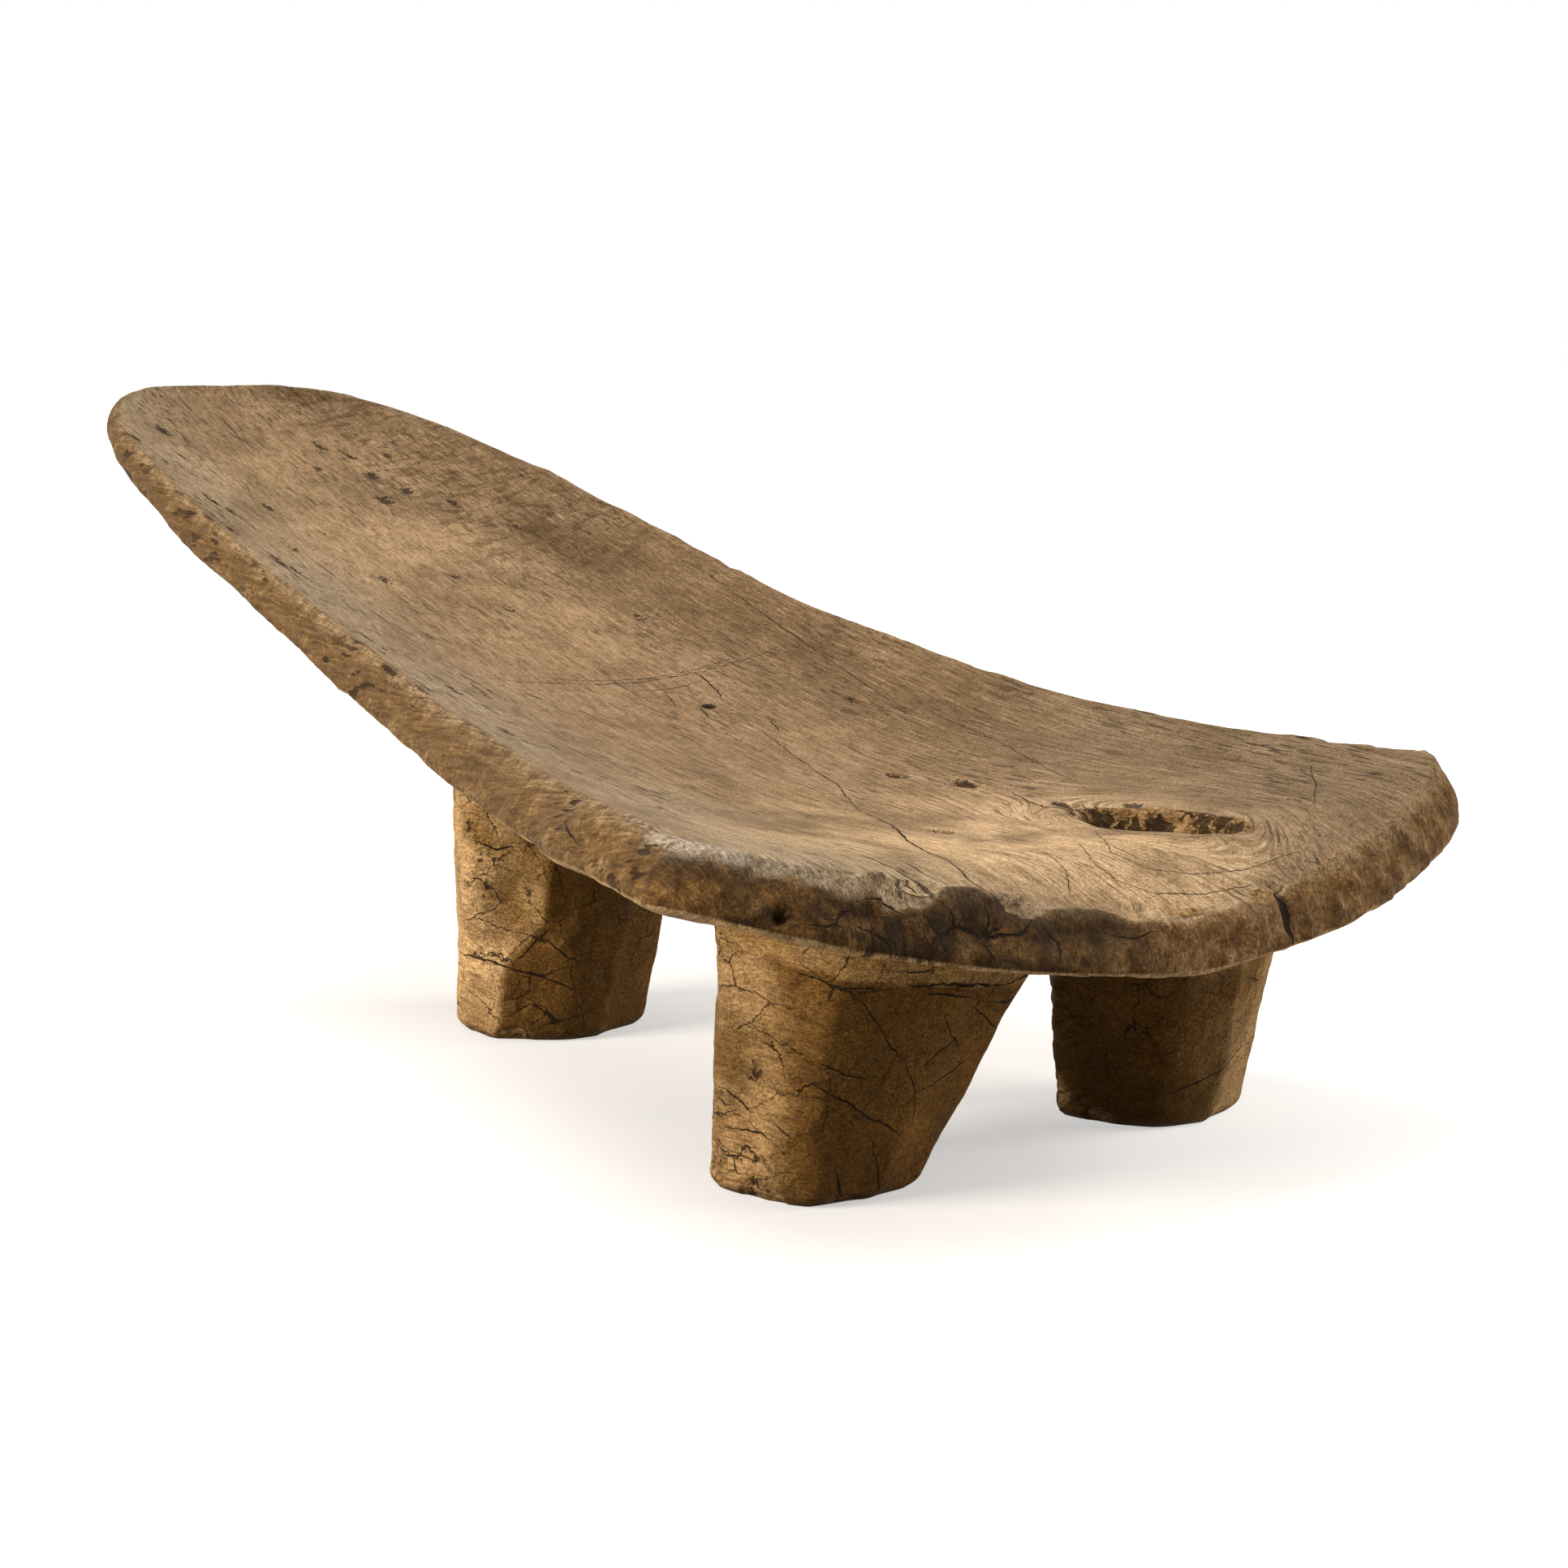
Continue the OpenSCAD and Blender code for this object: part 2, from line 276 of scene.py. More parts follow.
def underHeight(x, y):  # bottom of the edge face less a parabola's crown and the quick turn just inside the edge
    foot = shape["footTipLean"]
    u = np.clip((y + foot) / (length + foot + shape["headTipLean"]), 0, 1)
    s = np.clip(x / np.maximum(halfWidth(u, x, 1.0), 1e-6), -1, 1)
    crown = through(shape["crown"], u) * endShare(u) * (1 - s * s)
    turn = shape["underTurn"] * (1 - u) ** 2 * endShare(u) * (1 - np.abs(s) ** shape["turnPower"])
    return rimHeight(u) + twist(u, s) - through(shape["edge"], u) - crown - turn


def toPart(points):  # from the rim's frame to the part's frame
    return points - np.array([shape["middle"][0], shape["middle"][1], 0.0])


# The knot hollow: middle in the rim's frame, turn, half length, half widths, depth, and radius of the grain's swirl
knot = {
    "x": 89.0, "y": 146.0, "turn": -76.0,
    "long": 76.0, "nearWide": 38.0, "farWide": 35.0, "depth": 14.0, "swirl": 62.0,
}


def grainPlace(points):
    # Where a point lies in the grain: lines of even x run along the log and part round the knot as water round a
    # stone, x * (1 - R^2 / r^2)
    x, y = points[..., 0] - knot["x"], points[..., 1] - knot["y"]
    r2 = x * x + (y * 0.62) ** 2
    part = 1 - knot["swirl"] ** 2 / np.maximum(r2, knot["swirl"] ** 2 * 0.35)
    weight = smoothStep(330, 60, np.sqrt(r2))
    bent = points.copy()
    bent[..., 0] = points[..., 0] + x * (part - 1) * weight
    return bent * 0.001


seatPiece = {
    "columns": 820,            # points round the rim
    "footDensity": 1.7,        # how much closer they stand round the foot end
    "spine": (205.0, 1265.0),  # ends of the line that the rings close on
    "topStep": 4.6, "underStep": 22.0, "edgeRings": 12,
    "crestRounding": 6, "lowerRounding": 3,  # passes of smoothing over the crest and over the lower edge
    "crisp": 0.30,             # how much less the crest is rubbed round the foot end's left corner
    # Heights of the relief in millimetres: all over, on the edge face, under the seat, on the dish and on the crest
    "waves": 2.2, "edgeWaves": 1.5, "edgeGrit": 0.40, "adze": 0.7, "flutes": 2.3, "underWaves": 1.6, "underGrit": 0.5,
    "ripples": 0.35, "dimples": 0.9, "crestWaves": 2.4, "crestWear": 0.8,
    # How far from the crest its waves, humps and bites reach, how far apart adze cuts lie, and the edge face's depth
    "waveReach": 16, "humpReach": 13, "biteReach": 10, "adzeGap": 74, "edgeDepth": 38,
    # Bites out of the crest: x, y, z in the part's frame, reach along the turn, across it and up, turn, depth
    "bites": [
        (-190, -668, 236, 23, 20, 15, -20, 10.0), (-112, -684, 226, 19, 20, 15, -12, 12.5),
        (-26, -694, 216, 20, 16, 13, -4, 8.5), (-68, -690, 220, 9, 8, 8, -8, 2.5),
        (-229, -650, 246, 20, 9, 9, -28, 4.0), (-290, -560, 266, 26, 8, 8, -75, 3.0),
        (-302, -400, 272, 30, 8, 8, 92, 3.0), (-262, -160, 288, 26, 7, 8, 98, 3.5),
        (-232, 60, 322, 22, 7, 7, 98, 3.0), (-200, 330, 393, 24, 7, 7, 97, 3.5), (90, -690, 212, 8, 12, 14, 8, 4.5),
        (140, -676, 226, 20, 8, 8, 14, 2.5), (232, 480, 431, 9, 6, 6, 80, 3.0), (-16, 699, 484, 9, 6, 6, 0, 2.5),
        (222, 150, 345, 14, 6, 6, 84, 2.5), (262, -190, 292, 30, 7, 6, 84, 2.5),
    ],
    # Splintered wood that shows fresh: the same order, with how fresh last
    "freshWood": [(8, -697, 208, 24, 12, 8, -2, 0.42), (76, -692, 206, 15, 12, 14, 8, 0.42),
                  (150, -672, 222, 18, 10, 8, 14, 0.36)],
    # Humps left standing between the bites: x, y in the part's frame, reach, height
    "humps": [(-200, -660, 28, 8.0), (-146, -674, 23, 9.5), (-70, -690, 20, 6.0)],
    # How far below the crest the dark skin starts along the foot end: x in the part's frame, millimetres
    "skinDrop": [(-260, 6), (-205, 13), (-182, 9), (-168, -1), (-130, -1), (-112, 4), (-98, -1), (-48, -1), (-30, 7),
                 (10, 9), (40, 4), (160, 3)],
    # Scoops out of the outer edge face
    "faceCuts": [
        (-150, -694, 212, 34, 9, 15, -14, 5.0), (-70, -701, 200, 40, 8, 14, -8, 4.5),
        (-232, -662, 226, 26, 9, 15, -32, 3.0), (-306, -470, 250, 30, 8, 16, 92, 2.0),
        (205, -676, 207, 24, 8, 16, 30, 3.5), (30, -712, 190, 30, 7, 16, 2, 3.0),
        (-300, -270, 256, 34, 7, 16, 96, 2.0), (-262, -30, 280, 34, 7, 16, 98, 2.2),
    ],
    "edgeHole": (-275, -652, 226, 5.0, 5.0, 7.5, 0, 9.0),
    "knotPits": [
        (105, -494, 224, 9, 7, 9, -76, 7.0), (124, -536, 224, 10, 7, 9, -76, 8.0),
        (131, -566, 225, 11, 8, 9, -76, 9.0), (116, -512, 223, 7, 5, 8, -76, 5.0),
        (134, -592, 226, 8, 6, 8, -76, 5.0), (98, -462, 231, 16, 4, 5, -80, 4.5),
    ],
    "smallKnots": [(92, -352, 235, 13, 9, 8, -50, 3.0), (-32, -493, 231, 12, 8, 8, 60, 3.0),
                   (67, -301, 236, 9, 6, 8, -60, 2.0)],
}

# Cracks in the seat: points in the part's frame and the half width in millimetres
seatCracks = [
    ([(53, -147, 252), (33, -226, 242), (14, -300, 235), (-29, -388, 231)], 0.38),
    ([(-29, -388, 231), (-48, -455, 231), (-84, -522, 234), (-110, -584, 237), (-127, -645, 231),
    (-124, -670, 224)], 0.85),
    ([(-97, 6, 288), (-36, 4, 279), (18, -5, 276), (87, -4, 279), (154, -3, 291)], 0.35),
    ([(-63, 21, 285), (-11, 9, 279), (44, 1, 277), (124, 5, 287)], 0.25),
    ([(-84, -19, 280), (-81, -28, 278), (-77, -42, 275)], 1.8),
    ([(86, -7, 279), (82, -27, 274), (77, -47, 270), (72, -59, 267)], 0.5),
    ([(36, -37, 270), (31, -52, 267), (27, -64, 264)], 0.35),
    ([(16, -20, 272), (30, -26, 271), (54, -27, 272), (77, -23, 275)], 0.25),
    ([(42, -76, 263), (35, -99, 259)], 0.4),
    ([(72, -130, 256), (66, -150, 252)], 0.4),
    ([(99, -398, 233), (90, -431, 232), (85, -453, 232), (91, -470, 232), (96, -488, 229)], 0.8),
    ([(261, -534, 255), (246, -552, 252), (236, -567, 250), (199, -606, 244)], 0.2),
    ([(-46, -591, 234), (-35, -607, 233), (-42, -635, 228), (-60, -662, 219)], 0.15),
    ([(4, -592, 233), (-14, -627, 229), (-17, -655, 221), (0, -672, 213), (34, -680, 210), (75, -681, 212)], 0.15),
    ([(46, -557, 232), (10, -618, 231), (15, -646, 224), (44, -660, 219), (82, -665, 219), (130, -660, 224)], 0.12),
    ([(78, -473, 232), (62, -529, 232), (58, -585, 234), (78, -612, 233), (114, -620, 234), (136, -615, 237)], 0.18),
    ([(-186, -671, 221), (-182, -680, 212), (-180, -683, 207), (-174, -682, 208), (-165, -682, 213),
    (-157, -683, 208),
      (-148, -686, 203), (-136, -690, 204), (-123, -692, 203), (-114, -690, 209), (-111, -690, 216)], 1.15),
    ([(-165, -682, 213), (-167, -680, 220)], 0.7),
    ([(-147, -686, 203), (-142, -685, 212), (-143, -683, 220)], 0.6),
    ([(-180, -683, 207), (-190, -684, 198), (-195, -681, 193)], 0.8),
    ([(-152, -688, 201), (-145, -694, 191)], 0.6),
    ([(-214, -664, 231), (-202, -666, 226), (-197, -675, 219)], 1.1),
    ([(-257, -659, 219), (-248, -664, 217), (-230, -660, 226)], 0.7),
    ([(-228, -665, 215), (-214, -672, 206), (-208, -676, 196)], 0.5),
    ([(-104, -694, 206), (-96, -699, 196), (-98, -702, 188)], 0.6),
    ([(-60, -703, 202), (-40, -708, 196), (-22, -708, 200)], 0.4),
    ([(89, -689, 214), (88, -699, 200), (86, -706, 187), (90, -709, 176)], 2.5),
    ([(-234, -660, 229), (-246, -664, 217)], 0.5),
    ([(-291, -431, 250), (-298, -454, 244)], 0.5),
    ([(200, 150, 330), (192, 60, 312), (180, -60, 290), (168, -150, 276)], 0.2),
    ([(176, -190, 275), (172, -290, 262), (150, -400, 247)], 0.2),
    ([(-14, 640, 458), (-22, 590, 441), (-18, 560, 430)], 0.35),
]

# Torn pits in the dish: x, y, z in the part's frame, reach across the grain and along it
seatPits = [
    (-150, 540, 446, 2, 8), (-128, 476, 426, 2, 7), (-112, 520, 434, 2, 6), (18, 520, 412, 2, 5),
    (96, 530, 424, 2, 6), (-176, 300, 382, 2, 9), (-60, 360, 366, 2, 5), (12, 260, 336, 2, 5), (-118, 300, 366, 2, 6),
    (120, 340, 374, 2, 5), (60, 491, 407, 3, 7), (43, 436, 390, 4, 8), (72, 452, 396, 3, 6), (64, 544, 424, 2, 7),
    (48, 569, 431, 2, 8), (-100, 588, 450, 3, 10), (-145, 396, 402, 3, 12), (-138, 372, 394, 2, 9),
    (-84, 413, 392, 2, 8), (-160, 239, 362, 3, 14), (-152, 222, 355, 2, 9), (-20, 330, 350, 2, 6),
    (98, 410, 387, 2, 6), (92, -352, 235, 5, 10), (-32, -493, 231, 4, 8), (67, -301, 236, 3, 6),
    (150, -129, 267, 2, 5), (-168, -63, 291, 2, 8), (-196, -190, 276, 2, 7), (-205, -300, 264, 2, 6),
    (-180, 90, 312, 2, 8), (20, 180, 316, 2, 5), (110, 120, 308, 2, 5), (-60, 250, 340, 2, 6), (126, -500, 235, 4, 6),
    (104, -493, 224, 5, 8), (109, -508, 223, 4, 6), (126, -526, 222, 4, 9),
]
# The small round hole: in the part's frame, how oval it is along the log, and how wide it is at the top and bottom
backHole = {"x": 50.3, "y": -75.6, "radius": 5.7, "depth": 16.0, "oval": 1.1, "taper": (1.06, 0.86), "above": 12}


def rimStations():
    # Shares of the length at which one side of the rim is cut: even steps of arc length, closer at the foot end
    u = (1 - np.cos(np.linspace(0, np.pi, 8001))) / 2
    path = np.stack([halfWidth(u, -1.0, 0.0), placeAlong(u, 0.0), rimHeight(u)], axis=-1)
    steps = np.linalg.norm(np.diff(path, axis=0), axis=1)
    steps = steps * np.where(u[1:] < 0.14, seatPiece["footDensity"], 1.0)
    run = np.concatenate([[0], np.cumsum(steps)])
    return np.interp(np.linspace(0, run[-1], seatPiece["columns"] // 2 + 1), run, u)


def seatRings():
    # Rings from the top's spine out to the crest, down the edge face and in again under the crown to a lower spine
    u = rimStations()
    u = np.concatenate([u, u[-2:0:-1]])
    side = np.where(np.arange(len(u)) <= seatPiece["columns"] // 2, -1.0, 1.0)
    widest = shape["footWidth"] / 2
    # Distances in from the rim's widest point: close rows by the crest, then even ones
    close = np.array([0, 1.5, 3, 4.6, 6.4, 8.6, 11.2, 14.4, 18.2])
    far = np.linspace(18.2, widest, int((widest - 18.2) / seatPiece["topStep"]))[1:]
    topShares = 1 - np.concatenate([close, far]) / widest
    under = np.linspace(0, widest, int(widest / seatPiece["underStep"]))[1:]
    underShares = 1 - np.concatenate([[2.5, 5.5, 10, 17], under[under > 20]]) / widest
    low, high = seatPiece["spine"]
    spine = np.stack([0 * u, low + (high - low) * u], axis=-1)
    rows, kinds = [], []
    rim = np.stack([side * halfWidth(u, side, 0.0), placeAlong(u, 0.0)], axis=-1)
    for share in topShares[::-1]:
        flat = spine + (rim - spine) * share
        rows.append(np.dstack([flat[None], topHeight(flat[:, 0], flat[:, 1])[None, :, None]])[0])
        kinds.append((1 - share) * widest)
    for q in np.linspace(0, 1, seatPiece["edgeRings"] + 1)[1:]:
        z = rimHeight(u) + twist(u, side) - through(shape["edge"], u) * q
        rows.append(np.stack([side * halfWidth(u, side, q), placeAlong(u, q), z], axis=-1))
        kinds.append(-q)
    lower = np.stack([side * halfWidth(u, side, 1.0), placeAlong(u, 1.0)], axis=-1)
    for share in underShares:
        flat = spine + (lower - spine) * share
        rows.append(np.dstack([flat[None], underHeight(flat[:, 0], flat[:, 1])[None, :, None]])[0])
        kinds.append(-1 - (1 - share) * widest)
    # A row's kind says how far in from the crest it lies. Below zero it is a share of the way down the edge face, and
    # below -1 how far in under the seat
    return np.array(rows), np.array(kinds)


def rubbed(points, kinds, crest):
    # Rounds the crest and the lower edge: each pass moves a ring towards the mean of its neighbours
    rim = toPart(points[crest])
    corner = smoothStep(60, 150, rim[:, 0]) * smoothStep(-330, -500, rim[:, 1])
    rub = (1 - seatPiece["crisp"] * corner)[None, :, None]
    bottom = crest + seatPiece["edgeRings"]
    for middle, passes in ((crest, seatPiece["crestRounding"]), (bottom, seatPiece["lowerRounding"])):
        weight = np.clip(1.25 - np.abs(np.arange(len(kinds)) - middle) / 5.0, 0, 1)[:, None, None] * rub
        for _ in range(passes):
            mean = points.copy()
            mean[1:-1] = (points[:-2] + 2 * points[1:-1] + points[2:]) / 4
            points = points + (mean - points) * weight
    return points


def knotHollow(points, dish):
    # A gentle slope on the near side, and a torn wall on the far one that drops within a few millimetres. Gives how
    # deep it is, how torn, and its fibres
    c, s = math.cos(math.radians(knot["turn"])), math.sin(math.radians(knot["turn"]))
    dx, dy = points[..., 0] - knot["x"], points[..., 1] - knot["y"]
    along, over = c * dx + s * dy, -s * dx + c * dy
    fibres = layeredNoise(points, (5, 26, 8), 2.9, 3)
    farSide = smoothStep(-8, 16, over)
    r = np.sqrt((along / knot["long"]) ** 2 + (over / np.where(over > 0, knot["farWide"], knot["nearWide"])) ** 2)
    r = r + farSide * (0.07 * smoothNoise(points, 17.0, 7.7) + 0.05 * smoothNoise(points, 6.0, 1.7))
    steep = smoothStep(1.0, 0.80, r) + 0.10 * smoothStep(1.25, 1.0, r)
    gentle = smoothStep(1.06, 0.12, r)
    depth = knot["depth"] * (farSide * steep + (1 - farSide) * gentle)
    torn = smoothStep(4, 12, over + 7 * fibres) * smoothStep(1.12, 1.0, r) * smoothStep(0.15, 0.4, r) * dish
    return depth + torn * 2.8 * fibres, torn, fibres


def seatTones(points, fromCrest, edge, flutes, bites):  # where the wood is grey, stained and worn pale
    part = toPart(points)
    x, y = part[..., 0], part[..., 1]
    across = x / np.maximum(halfWidth(np.clip((y + shape["middle"][1]) / length, 0.01, 0.99), x, 0.0), 40)
    patches = layeredNoise(points, 130.0, 3.3, 3)
    # Grey on the right slope and, towards the foot end, a little on the left one
    grey = smoothStep(-0.25, -0.85, across) * (0.75 + 0.3 * patches)
    grey = grey + 0.45 * smoothStep(-150, -420, y) * smoothStep(0.15, 0.8, across)
    # Stained on the left slope, by the head's tip and, on the edge face, round the foot end's right corner
    stainAndShade = smoothStep(0.25, 0.80, across) * (0.85 + 0.4 * patches) + 0.4 * smoothStep(520, 690, y)
    stainAndShade = stainAndShade + smoothStep(0.25, 0.8, patches) * 0.12
    stainAndShade = stainAndShade * (1 - 0.7 * edge) + edge * (smoothStep(-480, -640, y) * smoothStep(20, -110, x) * 1.15
                                              + 0.10 * smoothStep(-100, -450, y) * smoothStep(60, -60, x))
    # Worn pale at the foot end's middle and a little in the back and on the first bites. On the flutes' raised ridges
    # the pale is wear and a painted highlight
    pale = (1.10 * np.exp(-(((x + 20) / 190) ** 2 + ((y + 550) / 170) ** 2))
            + 0.35 * np.exp(-(((x - 10) / 150) ** 2 + ((y - 330) / 260) ** 2)))
    firstBites = smoothStep(1.0, 5.0, scoops(part, seatPiece["bites"][:3]))
    pale = pale + firstBites * smoothStep(-30, 2, -np.abs(fromCrest))[:, None]
    pale = pale + edge * smoothStep(0.0, 0.7, flutes) * 1.0
    stainAndShade = stainAndShade * (1 - 0.8 * smoothStep(2.0, 6.0, bites))
    return np.clip(asField(grey * 0.75, stainAndShade * 0.85, pale * 0.85), 0, 0.9)


def makeSeat():
    points, kinds = seatRings()
    crest = int(np.argmax(kinds == 0))
    points = rubbed(points, kinds, crest)
    # Shares of each ring: on the edge face, near the crest, on the dish and near the lower edge
    onEdge = np.where(kinds < 0, 1.0, smoothStep(6, 1.0, kinds))
    onUnder = smoothStep(1.0, 2.5, -kinds)
    onDish = np.where(kinds >= 0, smoothStep(3, 12, kinds), 0.0)
    edgeDepth = seatPiece["edgeDepth"]
    fromCrest = np.where(kinds >= 0, kinds, -kinds * edgeDepth)
    lowEdge = np.exp(-(np.where(kinds < -1, -kinds - 1, (1 + kinds) * edgeDepth) / 6.0) ** 2)[:, None]
    edge = (onEdge * (1 - onUnder))[:, None]
    dish, under = onDish[:, None], onUnder[:, None]
    normals = gridNormals(points)
    normals = normals * np.sign(normals[5, 10, 2])  # a point of the dish shows which way is out
    part = toPart(points)

    low = layeredNoise(points, 190.0, 0.7, 2)
    lumps = layeredNoise(points, (75, 75, 60), 5.2, 3)
    grit = layeredNoise(points, 11.0, 9.4, 2)
    # Adze cuts on the edge face: flats between low ridges, |sin| of the way round the rim, bent by noise
    way = np.concatenate([[0], np.cumsum(np.linalg.norm(np.diff(points[crest], axis=0), axis=1))])
    bent = way[None] / seatPiece["adzeGap"] + 1.5 * smoothNoise(points, 120.0, 2.2)
    cuts = np.abs(np.sin(np.pi * bent)) - 0.6
    move = low * (0.5 + 0.5 * edge) * seatPiece["waves"] * np.where(kinds[:, None] >= 0, 0.55, 1.0)
    move = move + edge * (lumps * seatPiece["edgeWaves"] + grit * seatPiece["edgeGrit"] + cuts * seatPiece["adze"])
    move = move + under * (lumps * seatPiece["underWaves"] + grit * seatPiece["underGrit"])
    # Splintered ridges that run down the edge face at the foot end's left: noise drawn out in height
    flutes = layeredNoise(points, (13, 13, 70), 12.3, 2)
    flutes = flutes * smoothStep(20, 110, part[..., 0]) * smoothStep(-380, -520, part[..., 1])
    move = move + edge * flutes * seatPiece["flutes"]
    # Faint tool dimples over the far side of the back, and long low ripples all over the dish
    dimpled = smoothStep(150, 330, part[..., 1]) * smoothStep(20, 90, part[..., 0]) * dish
    dimples = smoothNoise(points, (15, 11, 15), 1.5) * smoothStep(0.1, 0.5, smoothNoise(points, 60.0, 4.5) + 0.4)
    move = move + dish * (seatPiece["ripples"] * layeredNoise(points, (26, 70, 26), 6.1, 2))
    move = move + dimpled * dimples * seatPiece["dimples"]
    points = points + normals * move[..., None]

    # The crest wanders a little up and down on its own, and humps stand between the bites
    part = toPart(points)
    nearCrest = np.exp(-(fromCrest[:, None] / seatPiece["waveReach"]) ** 2)
    crestWave = smoothNoise(points, (90, 90, 400), 8.8) * seatPiece["crestWaves"] * nearCrest
    points[..., 2] += crestWave - seatPiece["crestWear"] * nearCrest
    for x, y, reach, height in seatPiece["humps"]:
        bump = np.exp(-((part[..., 0] - x) ** 2 + (part[..., 1] - y) ** 2) / reach ** 2)
        points[..., 2] += height * bump * np.exp(-(fromCrest[:, None] / seatPiece["humpReach"]) ** 2)
    # Bites and scoops push the surface in and, near the crest, down
    part = toPart(points)
    inward = -normals * np.array([1, 1, 0.35])
    inward[..., 2] -= 0.75 * np.exp(-(fromCrest[:, None] / seatPiece["biteReach"]) ** 2)
    inward /= np.maximum(np.linalg.norm(inward, axis=-1, keepdims=True), 1e-9)
    bites = scoops(part, seatPiece["bites"])
    faceCuts = scoops(part, seatPiece["faceCuts"]) * edge
    points = points + inward * bites[..., None] - normals * faceCuts[..., None]
    hole = scoops(part, [seatPiece["edgeHole"]]) * edge
    points = points - normals * hole[..., None]
    depth, torn, fibres = knotHollow(points, dish)
    knotPits = scoops(part, seatPiece["knotPits"]) * dish
    smallKnots = scoops(part, seatPiece["smallKnots"]) * dish
    points[..., 2] -= (depth * dish + knotPits + smallKnots)

    # Cracks and pits: the widest ones are cut into the shape, all of them are drawn by the material
    part = toPart(points)
    signed, wide = crackFields(part, normals, seatCracks)
    points -= normals * crackDepth(signed, wide, 0.7, 1.6, 4.2)[..., None]
    grown = [(x, y, z, across * 1.5, along * 1.25) for x, y, z, across, along in seatPits]
    deepEnds = [(x, y, z - 3, reachY, reachX) for x, y, z, reachX, reachY, *_ in seatPiece["knotPits"]]
    pits = np.minimum(pitFields(part, grown), pitFields(part, deepEnds))
    points[..., 2] -= dish * 1.6 * smoothStep(1.5, -2.5, pits)
    pits = np.minimum(pits, np.where(torn > 0.3, 3 - 15 * fibres, 40))

    part = toPart(points)
    x, y = part[..., 0], part[..., 1]
    tones = seatTones(points, fromCrest, edge, flutes, bites)
    fresh = scoops(part, seatPiece["freshWood"]) * smoothStep(13, 8, np.abs(fromCrest))[:, None]
    # A painted highlight, a silvery glint on the crest at the foot end's right corner, year lines that show best on
    # the smooth foot end, and an edge face that turns greyer towards the head
    paintedGlint = 0.65 * np.exp(-((fromCrest[:, None] - 1) / 5.5) ** 2) * np.exp(-((y + 575) / 60) ** 2) * (x < 0)
    ringed = 0.50 * smoothStep(-40, -380, y) + 0.08
    weathered = 0.85 * smoothStep(-640, -400, y) * smoothStep(150, -50, x)
    # At the foot end the dark skin ends in a ragged line on the crest itself. Elsewhere a rubbed strip covers it
    atFoot = smoothStep(-520, -620, y) * smoothStep(150, 90, x)
    below = np.where(kinds[:, None] >= 0, -fromCrest[:, None], fromCrest[:, None])
    drop = np.interp(x, *zip(*seatPiece["skinDrop"]))
    skinLine = smoothStep(-1.2, 1.2, below - drop + 2.5 * layeredNoise(points, 12.0, 5.5, 2))
    skin = edge * (1 - atFoot) + (1 - under) * atFoot * skinLine
    onCrest = np.exp(-(fromCrest[:, None] / 7.5) ** 2) * (1 - 0.8 * atFoot)
    fields = {
        "grainAt": grainPlace(points),
        "marks": asField(signed, wide, pits),
        "places": asField(skin, onCrest, np.clip(torn + fresh + 0.3 * (smallKnots > 0.6), 0, 1)),
        "tones": tones,
        "more": asField(under, dimpled * 0.55, lowEdge),
        "extras": asField(paintedGlint, ringed, weathered),
    }
    mirrored = -np.arange(points.shape[1]) % points.shape[1]
    for ring in (0, -1):  # the two sides meet exactly on the spines
        points[ring] = (points[ring] + points[ring][mirrored]) / 2
    part = np.clip(toPart(points), np.array(cadBox[0]) * 1000, np.array(cadBox[1]) * 1000)
    piece = ringMesh("seat_dressed", part, fields, [])
    mergeAndTurn(piece, 0.00002)
    return piece


seat = makeSeat()
print("seat shaped:", len(seat.data.polygons), "faces")


def drillHole(piece):  # a ragged bore that narrows as it goes down, cut out of the mesh
    sides, rings = 26, 5
    angle = np.linspace(0, 2 * np.pi, sides, endpoint=False)
    z = float(topHeight(np.array(backHole["x"] + shape["middle"][0]), np.array(backHole["y"] + shape["middle"][1])))
    radius = backHole["radius"] * (1 + 0.07 * np.sin(2 * angle + 0.6) + 0.04 * np.sin(5 * angle))
    taper = np.linspace(*backHole["taper"], rings)[:, None]
    cutter = np.empty((rings, sides, 3))
    cutter[..., 0] = backHole["x"] + np.cos(angle) * radius * taper
    cutter[..., 1] = backHole["y"] + np.sin(angle) * radius * backHole["oval"] * taper
    cutter[..., 2] = z + np.linspace(backHole["above"], -backHole["depth"], rings)[:, None]
    tool = ringMesh("hole_tool", cutter, {}, [(0, True), (rings - 1, False)])
    mergeAndTurn(tool, 0.00001)
    cut = piece.modifiers.new("hole", "BOOLEAN")
    cut.operation, cut.object, cut.solver = "DIFFERENCE", tool, "EXACT"
    with bpy.context.temp_override(object=piece, active_object=piece):
        bpy.ops.object.modifier_apply(modifier=cut.name)
    bpy.data.objects.remove(tool)
    # The new walls carry no fields yet: they are marked as far from any crack and deep inside a pit, which paints them
    # dark as painted shade inside the bore
    mesh = piece.data
    at, marks = np.empty((2, len(mesh.vertices) * 3), np.float32)
    mesh.vertices.foreach_get("co", at)
    mesh.attributes["marks"].data.foreach_get("vector", marks)
    at, marks = at.reshape(-1, 3) * 1000, marks.reshape(-1, 3)
    away = np.hypot(at[:, 0] - backHole["x"], (at[:, 1] - backHole["y"]) / backHole["oval"])
    half = backHole["depth"] / 2
    inside = (away < backHole["radius"] * 1.2) & (np.abs(at[:, 2] - z + half + 1) < half)
    marks[inside] = (crackReach["far"], crackReach["none"], -6)
    mesh.attributes["marks"].data.foreach_set("vector", marks.ravel())
    print("hole walls:", int(inside.sum()), "points")


drillHole(seat)
print("hole drilled")


